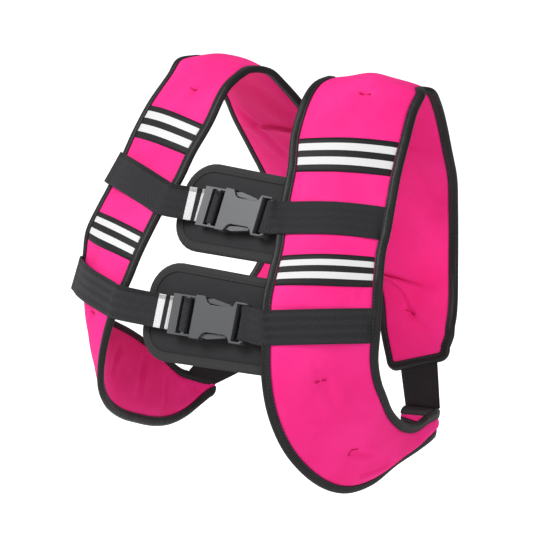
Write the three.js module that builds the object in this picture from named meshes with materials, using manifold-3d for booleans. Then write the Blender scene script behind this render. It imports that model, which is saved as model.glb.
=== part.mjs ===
import * as THREE from 'three';
import { mergeVertices } from 'three/addons/utils/BufferGeometryUtils.js';
import Module from 'manifold-3d';

const wasm = await Module();
wasm.setup();

// Driving sizes, in millimetres. The wearer faces -Y and +Z is up. The origin is between the two shoulder
// rests, at the height of the wearer's shoulders.
const halfWidth = 194; // centre to the widest armhole edge
const frontReach = 194; // shoulder crest forward to the foremost front edge
const backReach = 146; // shoulder crest back to the shoulder blades
const vestDrop = 420; // shoulder crest down to the lowest wing edge
const padThickness = 17; // filled neoprene at its fullest
const padBow = 2; // how far the padded straps arch across their width
const neopreneWall = 2.4; // one layer of neoprene at a sewn edge
const seamGap = 0.3; // between pieces that are sewn or lie together
const bindingSpare = 0.5; // taken off the padding where it fills a binding's slot too tightly
const carveTolerance = 0.02; // slivers along a carved edge that are closed up
const webbingGather = 1.2; // how much narrower the webbing is where it goes through a buckle
const bindingWidth = 8.5; // binding tape seen on each face
const bindingWall = 1.1; // binding tape thickness
const webbingWidth = 37; // chest webbing
const webbingThickness = 1.5;
const tapeThickness = 0.8; // reflective tape
const upperTapeWidth = 38;
const lowerTapeWidth = 32;
const elasticWidth = 50; // side strap, where it leaves the back
const leftElasticEnd = 50; // and where it is gathered into the edge of each wing
const rightElasticEnd = 36;
const elasticThickness = 1.6;
const upperTapeDistance = 86; // from the shoulder crest down the front, to the tape's top edge
const upperWebbingDistance = 158;
const lowerTapeDistance = 216;
const lowerWebbingDistance = 272;
const webbingTurnIn = 34; // right webbing folded behind the armhole edge
const webbingRise = 4.5; // how proud of the padding the right webbing lies
const buckleLength = 92; // male frame to female ears
const buckleFrameLength = 29; // the part of the male frame that shows
const buckleWidth = 46; // female body
const buckleThickness = 10.4; // female body
const buckleFrameThickness = 4.6; // male frame and prongs
const buckleRail = 1.8; // side rails of the male frame
const slotSpare = 1.3; // room above and below the webbing in each slot
const ladderBar = 10; // front bar of the male frame
const holdBar = 4; // bar that the webbing wraps
const loopSlot = 8; // slot in the female body for its webbing
const notchDepth = 8.4; // side openings where the prongs are pressed
const pocketClearance = 0.45; // round the prongs inside the female body
const padBacking = 8; // thickness of the pads behind the buckles
const upperPadHeight = 96;
const lowerPadHeight = 105;
const upperPadReach = 64; // centre to the free end of the upper buckle pad
const lowerPadReach = 61;
const padDepth = 0.7; // gap between the bindings of a buckle pad and of the left strap
const padTuck = 6; // how far each buckle pad goes behind the left strap
const padCorner = 34; // rounding of the free ends of the buckle pads
const wingCornerSpare = 2; // straight part left in the middle of a rounded wing tip
const backCorner = 12; // rounding of the two lower corners of each back leg

const sewnEdge = neopreneWall; // half of the two layers sewn together at an edge
const channel = sewnEdge + seamGap; // half height of the slot inside a binding
const bindingRise = channel + bindingWall; // binding's outer face above the middle of the edge
const flange = bindingWidth + 0.7; // flat sewn margin before the filling begins

// Rows across the padded strap, from its neck edge to its armhole edge. x is a share of halfWidth, y of
// frontReach where it is negative and of backReach where it is positive, and drop of vestDrop, measured down
// from the shoulder crest. fill is a share of padThickness.
const row = (neckX, neckY, neckDrop, armX, armY, armDrop, fill) => ({
  neck: [neckX, neckY, neckDrop],
  arm: [armX, armY, armDrop],
  fill,
});

// The left wing's end curls in behind the wearer and hangs a little lower than the right one.
const leftWingRows = [
  row(0.536, 0.555, 0.933, 0.536, 0.555, 0.881, 0),
  row(0.629, 0.548, 0.938, 0.639, 0.541, 0.876, 0.3),
  row(0.722, 0.493, 0.940, 0.753, 0.486, 0.867, 0.45),
  row(0.773, 0.377, 0.936, 0.814, 0.356, 0.857, 0.6),
  row(0.789, 0.171, 0.945, 0.840, 0.192, 0.855, 0.75),
  row(0.773, -0.077, 0.964, 0.861, 0.014, 0.860, 0.85),
  row(0.758, -0.304, 0.993, 0.881, -0.124, 0.845, 0.95),
  row(0.742, -0.541, 0.988, 0.897, -0.237, 0.817, 1),
  row(0.711, -0.763, 0.940, 0.912, -0.330, 0.781, 1),
  row(0.649, -0.938, 0.852, 0.933, -0.412, 0.736, 1),
  row(0.577, -0.990, 0.762, 0.948, -0.485, 0.690, 1),
  row(0.536, -1.000, 0.669, 0.969, -0.546, 0.629, 1),
];

const rightWingRows = [
  row(0.763, 0.397, 0.938, 0.794, 0.397, 0.886, 0),
  row(0.789, 0.301, 0.957, 0.825, 0.301, 0.871, 0.35),
  row(0.784, 0.123, 0.971, 0.845, 0.164, 0.850, 0.6),
  row(0.763, -0.082, 0.971, 0.866, 0.041, 0.814, 0.8),
  row(0.727, -0.278, 0.952, 0.881, -0.072, 0.774, 0.9),
  row(0.691, -0.485, 0.919, 0.902, -0.165, 0.740, 1),
  row(0.649, -0.706, 0.876, 0.923, -0.268, 0.707, 1),
  row(0.608, -0.876, 0.824, 0.938, -0.366, 0.681, 1),
  row(0.572, -0.979, 0.760, 0.954, -0.459, 0.657, 1),
  row(0.536, -1.000, 0.669, 0.969, -0.546, 0.614, 1),
];

const frontRows = [
  row(0.495, -0.948, 0.567, 1.000, -0.577, 0.555, 1),
  row(0.448, -0.871, 0.483, 0.995, -0.557, 0.483, 1),
  row(0.433, -0.804, 0.429, 0.990, -0.536, 0.424, 1),
  row(0.412, -0.706, 0.364, 0.959, -0.464, 0.360, 1),
  row(0.387, -0.644, 0.317, 0.943, -0.397, 0.319, 1),
  row(0.345, -0.536, 0.250, 0.918, -0.309, 0.250, 1),
  row(0.320, -0.448, 0.186, 0.897, -0.227, 0.186, 1),
  row(0.273, -0.351, 0.114, 0.871, -0.108, 0.114, 1),
  row(0.253, -0.216, 0.033, 0.835, 0.034, 0.050, 1),
  row(0.237, -0.093, 0.005, 0.830, 0.137, 0.017, 1),
];

const crestRows = [row(0.237, 0.014, 0.0, 0.784, 0.233, 0.012, 1.0)];

const shoulderRows = [
  row(0.191, 0.151, 0.012, 0.794, 0.342, 0.021, 1),
  row(0.144, 0.240, 0.048, 0.773, 0.479, 0.067, 1),
  row(0.072, 0.308, 0.095, 0.753, 0.596, 0.131, 1),
  row(0.000, 0.356, 0.143, 0.737, 0.692, 0.198, 1),
];

const centreRows = [
  row(0.000, 0.575, 0.226, 0.706, 0.829, 0.283, 1),
  row(0.000, 0.795, 0.326, 0.660, 0.938, 0.371, 1),
  row(0.000, 0.932, 0.421, 0.639, 0.986, 0.455, 1),
  row(0.000, 0.986, 0.517, 0.649, 0.966, 0.538, 1),
  row(0.000, 0.959, 0.602, 0.686, 0.890, 0.607, 0.9),
];

const legRows = [
  row(0.088, 0.945, 0.610, 0.716, 0.815, 0.648, 0.8),
  row(0.175, 0.863, 0.645, 0.732, 0.760, 0.669, 0.6),
  row(0.258, 0.747, 0.714, 0.742, 0.726, 0.693, 0.35),
  row(0.330, 0.685, 0.783, 0.732, 0.692, 0.721, 0),
];

const leftElasticPlace = 1; // rows in from the wing tip to the middle of each elastic's end
const rightElasticPlace = 0.6;
const halfStep = 0.5; // extra stations stand half way between rows where a half turns quickly
const tangentReach = 0.1; // rows either side of a place on an edge, for the direction of the edge there
const crossShares = [0.14, 0.32, 0.5, 0.68, 0.86]; // where the filled part is sampled across its width
const cornerTurns = [0, 25, 50, 72, 90]; // degrees round a rounded corner

const shoulderHeight = padThickness / 2;

function place([x, y, drop]) {
  const reach = y < 0 ? frontReach : backReach;
  return new THREE.Vector3(x * halfWidth, y * reach, shoulderHeight - drop * vestDrop);
}

function along(direction, amount) {
  return direction.clone().multiplyScalar(amount);
}

function sideways(vector, axis) {
  return vector.clone().addScaledVector(axis, -vector.dot(axis)).normalize();
}

// A smooth edge through the rows, broken into separate curves at the rows where it has a corner.
function edgeCurve(points, corners) {
  const stops = [0, ...corners, points.length - 1];
  const spans = stops.slice(1).map((stop, i) => {
    const start = stops[i];
    const curve = new THREE.CatmullRomCurve3(points.slice(start, stop + 1), false, 'centripetal');
    return { start, stop, curve };
  });
  return (position) => {
    const span = spans.find((s) => position <= s.stop) ?? spans[spans.length - 1];
    return span.curve.getPoint((position - span.start) / (span.stop - span.start));
  };
}

// One half of the vest: every station has its two edges, the outward normal and the fill of its padding.
function halfStations(rows, neckCorner, archCorner, isFine) {
  const neckAt = edgeCurve(rows.map((r) => place(r.neck)), [neckCorner, archCorner]);
  const armAt = edgeCurve(rows.map((r) => place(r.arm)), []);
  const last = rows.length - 1;
  const middle = (t) => neckAt(t).add(armAt(t)).multiplyScalar(0.5);
  const stationAt = (t) => {
    const low = Math.max(0, t - halfStep / 2);
    const high = Math.min(last, t + halfStep / 2);
    const neck = neckAt(t);
    const arm = armAt(t);
    if (t >= neckCorner && t <= archCorner) neck.x = seamGap / 2;
    const across = arm.clone().sub(neck).normalize();
    const forward = middle(high).sub(middle(low)).normalize();
    const normal = across.clone().cross(forward).normalize();
    const floor = Math.min(Math.floor(t), last - 1);
    const fill = THREE.MathUtils.lerp(rows[floor].fill, rows[floor + 1].fill, t - floor);
    const station = { t, neck, arm, across, normal, forward: normal.clone().cross(across), fill };
    const tangent = (curve, from, to) => {
      const before = curve(Math.max(from, t - tangentReach));
      return curve(Math.min(to, t + tangentReach)).sub(before).normalize();
    };
    const onSeam = t > neckCorner && t < archCorner;
    const [from, to] = t <= neckCorner ? [0, neckCorner] : [archCorner, last];
    let neckFrame = { point: neck, out: along(across, -1), normal };
    if (!onSeam) neckFrame = edgeFrame(station, -1, tangent(neckAt, from, to));
    if (t === neckCorner || t === archCorner) neckFrame = centreFrame(neckFrame, seamGap / 2);
    station.frames = [neckFrame, edgeFrame(station, 1, tangent(armAt, 0, last))];
    const room = neck.distanceTo(arm) / 2 - 0.5;
    station.margins = station.frames.map((f) =>
      f.point.clone().addScaledVector(f.out, -Math.min(flange, room)));
    return station;
  };
  const list = [];
  for (let i = 0; i <= last; i += 1) {
    list.push(stationAt(i));
    if (i < last && isFine(i)) list.push(stationAt(i + halfStep));
  }
  return { list, stationAt, neckAt, armAt, neckCorner, archCorner, last, middle };
}

function roundedEnd(station, radius, direction) {
  const width = stripWidth(station);
  const centre = station.neck.clone().add(station.arm).multiplyScalar(0.5);
  return cornerTurns.slice(1).map((degrees) => {
    const angle = THREE.MathUtils.degToRad(degrees);
    const half = width / 2 - radius * (1 - Math.cos(angle));
    const middle = centre.clone().addScaledVector(station.forward, direction * radius * Math.sin(angle));
    const rounded = {
      ...station,
      fill: 0,
      neck: middle.clone().addScaledVector(station.across, -half),
      arm: middle.clone().addScaledVector(station.across, half),
    };
    rounded.frames = [-1, 1].map((side) => ({
      point: side < 0 ? rounded.neck : rounded.arm,
      out: along(station.across, side * Math.cos(angle))
        .addScaledVector(station.forward, direction * Math.sin(angle)),
      normal: station.normal,
    }));
    const margin = Math.min(flange, half - 0.5);
    rounded.margins = [
      rounded.neck.clone().addScaledVector(station.across, margin),
      rounded.arm.clone().addScaledVector(station.across, -margin),
    ];
    return rounded;
  });
}

function stripWidth(station) {
  return station.neck.distanceTo(station.arm);
}

// Half thickness and arch of a padded strip at a share of the way between its two sewn margins.
function padProfile(station, share, thickness, bow) {
  const swell = Math.sin(Math.PI * THREE.MathUtils.clamp(share, 0, 1));
  const full = Math.max(0, (thickness * station.fill) / 2 - sewnEdge);
  return { half: sewnEdge + full * swell ** 0.6, arch: bow * station.fill * swell * swell };
}

// Point of a padded strip between its margins, on its outer face (side 1) or its inner face (side -1), with a
// lift away from it.
function padPoint(station, share, side, lift, thickness = padThickness, bow = padBow) {
  const { half, arch } = padProfile(station, share, thickness, bow);
  const [low, high] = station.frames;
  const normal = low.normal.clone().lerp(high.normal, share).normalize();
  return station.margins[0]
    .clone()
    .lerp(station.margins[1], share)
    .addScaledVector(normal, arch + side * (half + lift));
}

// Point of a strip's section: distance from the neck edge, and height above its middle surface.
function sectionPoint(station, distance, height) {
  return station.neck
    .clone()
    .addScaledVector(station.across, distance)
    .addScaledVector(station.normal, height);
}

// Height of a padded half's outer face (side 1) or inner face (side -1), with a lift away from it.
function faceHeight(station, distance, side, lift) {
  const share = (distance - flange) / (stripWidth(station) - 2 * flange);
  const { half, arch } = padProfile(station, share, padThickness, padBow);
  return arch + side * (half + lift);
}

// Closed skin through rings of equal length, with its two end rings filled in. Each quad is split along its
// shorter diagonal.
function loft(rings, capTriangles) {
  const count = rings[0].length;
  const points = rings.flat();
  const positions = points.flatMap((p) => [p.x, p.y, p.z]);
  const index = [];
  for (let r = 0; r < rings.length - 1; r += 1) {
    for (let i = 0; i < count; i += 1) {
      const a = r * count + i;
      const b = r * count + ((i + 1) % count);
      const isShorter = points[a].distanceTo(points[b + count]) < points[b].distanceTo(points[a + count]);
      if (isShorter) index.push(a, b, b + count, a, b + count, a + count);
      else index.push(a, b, a + count, b, b + count, a + count);
    }
  }
  const end = (rings.length - 1) * count;
  for (const [a, b, c] of capTriangles) {
    index.push(a, c, b);
    index.push(end + a, end + b, end + c);
  }
  const geometry = new THREE.BufferGeometry();
  geometry.setAttribute('position', new THREE.Float32BufferAttribute(positions, 3));
  geometry.setIndex(index);
  return facingOut(geometry);
}

function signedVolume(geometry) {
  const position = geometry.getAttribute('position');
  const index = geometry.getIndex().array;
  const [a, b, c] = [new THREE.Vector3(), new THREE.Vector3(), new THREE.Vector3()];
  let total = 0;
  for (let i = 0; i < index.length; i += 3) {
    a.fromBufferAttribute(position, index[i]);
    b.fromBufferAttribute(position, index[i + 1]);
    c.fromBufferAttribute(position, index[i + 2]);
    total += a.dot(b.cross(c)) / 6;
  }
  return total;
}

function facingOut(geometry) {
  if (signedVolume(geometry) < 0) {
    const index = geometry.getIndex().array;
    for (let i = 0; i < index.length; i += 3) [index[i], index[i + 1]] = [index[i + 1], index[i]];
  }
  geometry.computeVertexNormals();
  return geometry;
}

function mirrored(geometry) {
  const copy = geometry.clone();
  copy.scale(-1, 1, 1);
  return facingOut(copy);
}

function stripTriangles(count) {
  const triangles = [];
  for (let i = 0; i < count / 2 - 1; i += 1) {
    const j = count - 1 - i;
    triangles.push([i, i + 1, j - 1], [i, j - 1, j]);
  }
  return triangles;
}

// Padded strip: two sewn margins with a filled part between them. No point of it passes leastX.
function paddedStrip(stations, thickness, bow, leastX) {
  const rings = stations.map((station) => {
    const face = (side) => {
      const [neckEdge, armEdge] = station.frames.map((f) =>
        f.point.clone().addScaledVector(f.normal, side * sewnEdge));
      const filled = [0, ...crossShares, 1].map((share) => padPoint(station, share, side, 0, thickness, bow));
      return [neckEdge, ...filled, armEdge];
    };
    const ring = [...face(1), ...face(-1).reverse()];
    for (const p of ring) p.x = Math.max(p.x, leastX);
    return ring;
  });
  return loft(rings, stripTriangles(rings[0].length));
}

// The folded binding tape, drawn in the plane of its outward direction and the normal. With a clearance it is
// the room that the tape needs.
function bindingSection(clearance) {
  const slot = channel - clearance / 2;
  const rise = bindingRise + clearance;
  const inner = -bindingWidth - clearance;
  const outer = seamGap + bindingWall + clearance;
  return [
    [inner, slot],
    [seamGap - clearance / 2, slot],
    [seamGap - clearance / 2, -slot],
    [inner, -slot],
    [inner, -rise],
    [outer, -rise],
    [outer, rise],
    [inner, rise],
  ];
}

function binding(path, clearance = 0) {
  const section = bindingSection(clearance);
  const cap = THREE.ShapeUtils.triangulateShape(section.map(([x, y]) => new THREE.Vector2(x, y)), []);
  const rings = path.map(({ point, out, normal }) =>
    section.map(([x, y]) => point.clone().addScaledVector(out, x).addScaledVector(normal, y)));
  return loft(rings, cap);
}

// Binding frame on a smooth edge: side is -1 for the neck edge and 1 for the armhole edge.
function edgeFrame(station, side, tangent) {
  const normal = sideways(station.normal, tangent);
  const out = along(tangent.clone().cross(normal), side);
  return { point: (side < 0 ? station.neck : station.arm).clone(), out, normal };
}

const bindingFrames = (stations, side) => stations.map((s) => s.frames[side < 0 ? 0 : 1]);

function mirrorFrame({ point, out, normal }) {
  const flip = (v) => new THREE.Vector3(-v.x, v.y, v.z);
  return { point: flip(point), out: flip(out), normal: flip(normal) };
}

// Turns a frame square to the centre plane of the vest and puts it on that plane.
function centreFrame(frame, x) {
  const out = sideways(frame.out, new THREE.Vector3(1, 0, 0));
  const normal = sideways(sideways(frame.normal, new THREE.Vector3(1, 0, 0)), out);
  return { point: frame.point.clone().setX(x), out, normal };
}

// Flat strap through stations that each have a middle, a direction across and a width. With a clearance it is
// the room that the strap needs.
function strap(stations, thickness, clearance = 0) {
  const rings = stations.map(({ middle, across, width }, i) => {
    const before = stations[Math.max(0, i - 1)].middle;
    const after = stations[Math.min(stations.length - 1, i + 1)].middle;
    const run = after.clone().sub(before).normalize();
    const level = sideways(across, run);
    const normal = level.clone().cross(run).normalize();
    const corner = (a, n) => middle.clone()
      .addScaledVector(level, a * (width / 2 + clearance))
      .addScaledVector(normal, n * (thickness / 2 + clearance));
    return [corner(-1, -1), corner(1, -1), corner(1, 1), corner(-1, 1)];
  });
  return loft(rings, stripTriangles(4));
}

function manifold(geometry) {
  const plain = geometry.clone();
  plain.deleteAttribute('normal');
  plain.deleteAttribute('uv');
  const merged = mergeVertices(plain, 0.0001);
  const vertProperties = new Float32Array(merged.getAttribute('position').array);
  const triVerts = new Uint32Array(merged.getIndex().array);
  return new wasm.Manifold(new wasm.Mesh({ numProp: 3, vertProperties, triVerts }));
}

function fromManifold(solid) {
  const { vertProperties, triVerts } = solid.getMesh();
  const geometry = new THREE.BufferGeometry();
  geometry.setAttribute('position', new THREE.Float32BufferAttribute(vertProperties, 3));
  geometry.setIndex(Array.from(triVerts));
  geometry.computeVertexNormals();
  return geometry;
}

// A piece with the room for its neighbours taken out. Slivers that come loose are dropped.
function carved(geometry, rooms) {
  let solid = manifold(geometry);
  for (const room of rooms) solid = solid.subtract(manifold(room));
  const bodies = solid.decompose().sort((a, b) => b.volume() - a.volume());
  return fromManifold(bodies[0].simplify(carveTolerance));
}

// Materials
const plain = (color, roughness) => new THREE.MeshStandardMaterial({ color, roughness, metalness: 0 });
const pinkNeoprene = plain(0xf03a8c, 0.8);
const blackNeoprene = plain(0x343434, 0.85);
const blackBinding = plain(0x242424, 0.75);
const blackWebbing = plain(0x303030, 0.8);
const blackElastic = plain(0x1f1f1f, 0.85);
const reflectiveTape = plain(0xd8d8d8, 0.4);
const greyPlastic = plain(0x808080, 0.45);

const vest = new THREE.Group();

function addPiece(name, geometry, material, parent = vest) {
  const mesh = new THREE.Mesh(geometry, material);
  mesh.name = name;
  parent.add(mesh);
  return mesh;
}

// Padded halves
function makeHalf(wingRows) {
  const rows = [...wingRows, ...frontRows, ...crestRows, ...shoulderRows, ...centreRows, ...legRows];
  const crest = wingRows.length + frontRows.length;
  const neckCorner = crest + shoulderRows.length;
  const archCorner = neckCorner + centreRows.length;
  const isFine = (i) => i < wingRows.length || (i >= crest - 3 && i < neckCorner + 1) || i >= archCorner - 1;
  const half = halfStations(rows, neckCorner, archCorner, isFine);
  const tip = half.list[0];
  const tipRadius = stripWidth(tip) / 2 - wingCornerSpare;
  half.tipEnd = roundedEnd(tip, tipRadius, -1);
  half.legEnd = roundedEnd(half.list[half.list.length - 1], backCorner, 1);
  half.stations = [...half.tipEnd.slice().reverse(), ...half.list, ...half.legEnd];
  half.crest = crest;
  return half;
}

const leftHalf = makeHalf(leftWingRows);
const rightHalf = makeHalf(rightWingRows);

// Walks along an edge or the middle of a half from one place to another, down the front when the distance is
// positive.
function walk(curve, from, distance) {
  const stride = 0.02 * Math.sign(distance);
  let travelled = 0;
  let t = from;
  let here = curve(t);
  while (travelled < Math.abs(distance) && t > Math.abs(stride)) {
    t -= stride;
    const next = curve(t);
    travelled += next.distanceTo(here);
    here = next;
  }
  return t;
}

// Station down the front of a half at a distance from the shoulder crest, along the middle of the strap.
function frontStation(half, distance) {
  return half.stationAt(walk(half.middle, half.crest, distance));
}

// Bindings
function neckPath(half) {
  const neckline = half.list.filter((s) => s.t <= half.neckCorner);
  return bindingFrames([...half.tipEnd.slice().reverse(), ...neckline], -1);
}

function lowerPath(half) {
  const arch = half.list.filter((s) => s.t >= half.archCorner);
  return [
    ...bindingFrames([...arch, ...half.legEnd], -1),
    ...bindingFrames([...half.tipEnd.slice().reverse(), ...half.list, ...half.legEnd], 1).reverse(),
  ];
}

const leftNeck = neckPath(leftHalf);
const rightNeck = neckPath(rightHalf).map(mirrorFrame);
const neckMiddle = centreFrame(leftNeck.pop(), 0);
rightNeck.pop();
const neckBindingPath = [...leftNeck, neckMiddle, ...rightNeck.reverse()];
const leftArmholePath = lowerPath(leftHalf);
const rightArmholePath = lowerPath(rightHalf).map(mirrorFrame);

// Reflective tapes across the front straps, pressed a little into the padding
const tapeShares = [0, 0.15, 0.32, 0.5, 0.68, 0.85, 1];

function tape(half, distance, width, clearance = 0) {
  const spots = [distance - clearance, distance + width / 2, distance + width + clearance];
  const rows = spots.map((d) => frontStation(half, d));
  const rings = tapeShares.map((share) => {
    const wider = share + (Math.sign(share - 0.5) * clearance) / stripWidth(rows[1]);
    const face = (lift) => rows.map((station) => padPoint(station, wider, 1, lift));
    return [...face(-clearance), ...face(tapeThickness + clearance).reverse()];
  });
  return loft(rings, stripTriangles(6));
}

const tapes = [
  ['upper_reflective_tape', upperTapeDistance, upperTapeWidth],
  ['lower_reflective_tape', lowerTapeDistance, lowerTapeWidth],
];

// Buckles. Each is drawn flat: x runs from the right strap to the left strap, y is up and z faces out.
const holdBarThickness = buckleFrameThickness; // bars that the webbing wraps are as thick as the frame
const slotHalf = webbingWidth / 2 + slotSpare;
const frameHalf = slotHalf + buckleRail;
const holdBarStart = (ladderBar + buckleFrameLength - 2 - holdBar) / 2; // between the two slots of the frame
const webbingBehindFrame = buckleFrameThickness / 2 + 2 * webbingThickness + 3 * seamGap + 1.2;
const bodyStart = buckleFrameLength;
const slotEnd = buckleLength - holdBar;
const slotStart = slotEnd - loopSlot;
const notchStart = bodyStart + 14;
const notchEnd = slotStart - 4;

function outline(points) {
  return new THREE.Shape(points.map(([x, y]) => new THREE.Vector2(x, y)));
}

function slotPath(x0, x1, halfHeight) {
  return new THREE.Path([
    new THREE.Vector2(x0, -halfHeight),
    new THREE.Vector2(x1, -halfHeight),
    new THREE.Vector2(x1, halfHeight),
    new THREE.Vector2(x0, halfHeight),
  ]);
}

function slab(shape, thickness) {
  const geometry = new THREE.ExtrudeGeometry(shape, { depth: thickness, bevelEnabled: false });
  geometry.translate(0, 0, -thickness / 2);
  return geometry;
}

function femaleBuckle() {
  const half = buckleWidth / 2;
  const floor = half - notchDepth;
  const side = [
    [bodyStart, half],
    [notchStart - 3, half],
    [notchStart + 1, floor + 2],
    [notchStart + 5, floor],
    [notchEnd - 5, floor],
    [notchEnd - 1, floor + 2],
    [notchEnd + 2, half - 1],
    [buckleLength, half - 1.5],
  ];
  const shape = outline([...side, ...side.slice().reverse().map(([x, y]) => [x, -y])]);
  shape.holes.push(slotPath(slotStart, slotEnd, slotHalf));
  const pocketHalf = buckleFrameThickness / 2 + pocketClearance;
  const pocket = outline([
    [bodyStart - 1, frameHalf + pocketClearance],
    [slotStart - 3, frameHalf + pocketClearance],
    [slotStart - 3, -frameHalf - pocketClearance],
    [bodyStart - 1, -frameHalf - pocketClearance],
  ]);
  const barRoom = outline([
    [slotEnd - 1, slotHalf],
    [buckleLength + 1, slotHalf],
    [buckleLength + 1, -slotHalf],
    [slotEnd - 1, -slotHalf],
  ]);
  const overBar = slab(barRoom, buckleThickness).translate(0, 0, (holdBarThickness + buckleThickness) / 2);
  const underBar = slab(barRoom, buckleThickness).translate(0, 0, -(holdBarThickness + buckleThickness) / 2);
  const body = manifold(slab(shape, buckleThickness)).subtract(manifold(slab(pocket, 2 * pocketHalf)));
  return fromManifold(body.subtract(manifold(overBar)).subtract(manifold(underBar)));
}

function maleBuckle() {
  const reach = notchEnd - 2;
  const stem = bodyStart + 6;
  const upper = [
    [0, frameHalf],
    [stem, frameHalf],
    [notchStart + 1, frameHalf - 1],
    [notchStart + 6, frameHalf],
    [reach - 3, frameHalf - 4],
    [reach, frameHalf - 8],
    [notchStart + 5, frameHalf - 5.5],
    [stem + 3, frameHalf - 5],
    [stem, frameHalf - 7],
    [stem, 5],
    [reach - 4, 4],
    [reach - 2, 2],
  ];
  const shape = outline([...upper, ...upper.slice().reverse().map(([x, y]) => [x, -y])]);
  shape.holes.push(slotPath(ladderBar, holdBarStart, slotHalf));
  shape.holes.push(slotPath(holdBarStart + holdBar, bodyStart - 2, slotHalf - 0.2));
  return fromManifold(manifold(slab(shape, buckleFrameThickness)));
}

// The two closures. centre is the middle of the buckle, lean its tilt back from upright and turn its turn
// about the vertical, both in degrees. slant is how much higher the right webbing is at the armhole edge.
const closures = [
  {
    level: 'upper',
    distance: upperWebbingDistance,
    centre: 17.5,
    lean: 27,
    turn: -4,
    padTurn: -4,
    slant: 13,
    height: upperPadHeight,
    reach: upperPadReach,
  },
  {
    level: 'lower',
    distance: lowerWebbingDistance,
    centre: 26,
    lean: 21,
    turn: 4,
    padTurn: 0,
    slant: 0,
    height: lowerPadHeight,
    reach: lowerPadReach,
  },
];

function closureFrame({ distance, centre, lean, turn }) {
  const left = frontStation(leftHalf, distance + webbingWidth / 2);
  const right = frontStation(rightHalf, distance + webbingWidth / 2);
  const tilt = new THREE.Matrix4().makeRotationX(THREE.MathUtils.degToRad(-lean));
  const basis = new THREE.Matrix4().makeRotationZ(THREE.MathUtils.degToRad(turn)).multiply(tilt);
  const x = new THREE.Vector3(1, 0, 0).transformDirection(basis);
  const y = new THREE.Vector3(0, 0, 1).transformDirection(basis);
  const z = new THREE.Vector3(0, -1, 0).transformDirection(basis);
  const level = left.neck.clone().add(right.neck).multiplyScalar(0.5);
  const origin = level.setX(centre).addScaledVector(z, sewnEdge).addScaledVector(x, -buckleLength / 2);
  return { left, right, x, y, z, origin };
}

function inFrame(frame, x, y, z) {
  return frame.origin.clone()
    .addScaledVector(frame.x, x)
    .addScaledVector(frame.y, y)
    .addScaledVector(frame.z, z);
}

const halfWeb = webbingThickness / 2;
const webLift = halfWeb + seamGap;
const overBinding = bindingRise + webLift;

// Webbing stations from [x, z] places in a buckle and from [distance, height] places across a strap.
function buckleStations(frame, path) {
  return path.map(([x, z]) => ({
    middle: inFrame(frame, x, 0, z),
    across: frame.y,
    width: webbingWidth - webbingGather,
  }));
}

function strapStations(stationFor, path, flip) {
  const turned = (v) => new THREE.Vector3(flip * v.x, v.y, v.z);
  return path.map(([distance, height]) => {
    const station = stationFor(distance);
    return {
      middle: turned(sectionPoint(station, distance, height)),
      across: turned(station.forward),
      width: webbingWidth,
    };
  });
}

// Left webbing: sewn under the armhole binding, over the padding and the neck binding, and round the loop
// bar of the female buckle.
function leftWebbing(frame, clearance = 0) {
  const width = stripWidth(frame.left);
  const start = width - bindingWidth - 2 * seamGap;
  const spots = [start, 0.8 * width, 0.65 * width, 0.5 * width, 0.35 * width, 0.2 * width];
  const overPad = spots.map((d) => [d, faceHeight(frame.left, d, 1, webLift)]);
  const overEdge = [[bindingWidth + 1, overBinding + 0.4], [0, overBinding + 0.2]];
  const barRise = holdBarThickness / 2 + webLift;
  const roundBar = [
    [buckleLength + 2.5, barRise + 0.3],
    [slotEnd + 0.6, barRise + 0.3],
    [slotEnd - webLift - 0.4, barRise - halfWeb],
    [slotEnd - webLift - 0.4, halfWeb - barRise],
    [slotEnd + 0.6, -barRise - 0.3],
    [buckleLength + 3, -barRise - 0.3],
  ];
  return strap(
    [...strapStations(() => frame.left, [...overPad, ...overEdge], 1), ...buckleStations(frame, roundBar)],
    webbingThickness,
    clearance,
  );
}

// Right webbing: turned in behind the armhole edge, proud over the padding, under the ladder bar of the male
// buckle, over its hold bar and back underneath.
function rightWebbing(frame, { distance, slant }, clearance = 0) {
  const width = stripWidth(frame.right);
  const middle = distance + webbingWidth / 2;
  const stationFor = (d) => frontStation(rightHalf, middle - (slant * THREE.MathUtils.clamp(d, 0, width)) / width);
  const inner = (d) => [d, faceHeight(stationFor(d), d, -1, webLift)];
  const outer = (d, rise) => [d, faceHeight(stationFor(d), d, 1, webLift + rise)];
  const beyond = width + seamGap + bindingWall + webLift;
  const behind = [
    inner(width - webbingTurnIn),
    inner(width - webbingTurnIn / 2 - 4),
    [width - bindingWidth - 1, -overBinding - 0.4],
    [width, -overBinding],
    [beyond + 0.8, -overBinding / 2],
    [beyond + 1.4, overBinding / 2],
    [width + 0.5, overBinding + 2.5],
  ];
  const over = [
    outer(0.86 * width, webbingRise),
    outer(0.7 * width, webbingRise),
    outer(0.5 * width, webbingRise * 0.7),
    outer(0.3 * width, webbingRise * 0.4),
    [bindingWidth + 3, overBinding + 1.8],
    [0, overBinding + 0.2],
  ];
  const low = buckleFrameThickness / 2 + webLift;
  const bar = holdBarStart;
  const throughLadder = [
    [-7, -low + 0.8],
    [-2, -low - 0.1],
    [3, -low - 0.2],
    [ladderBar + 0.2, -low - 0.2],
    [ladderBar + 2.6, -low * 0.5],
    [bar - 2.4, low * 0.5],
    [bar - 0.4, low + 0.15],
    [bar + holdBar / 2, low + 0.4],
    [bar + holdBar + 0.4, low + 0.15],
    [bar + holdBar + 1.6, low - 1.15],
    [bar + holdBar + 1.6, 1.35 - low],
    [bar + holdBar + 0.4, -low - 0.25],
    [bar + holdBar - 2.5, -low - 0.65],
    [bar - 3, -low - 1.65],
    [ladderBar - 1, -low - 2.25],
    [-5, -low - 2.55],
    [-16, -low - 2.55],
  ];
  return strap(
    [...strapStations(stationFor, [...behind, ...over], -1), ...buckleStations(frame, throughLadder)],
    webbingThickness,
    clearance,
  );
}

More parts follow.
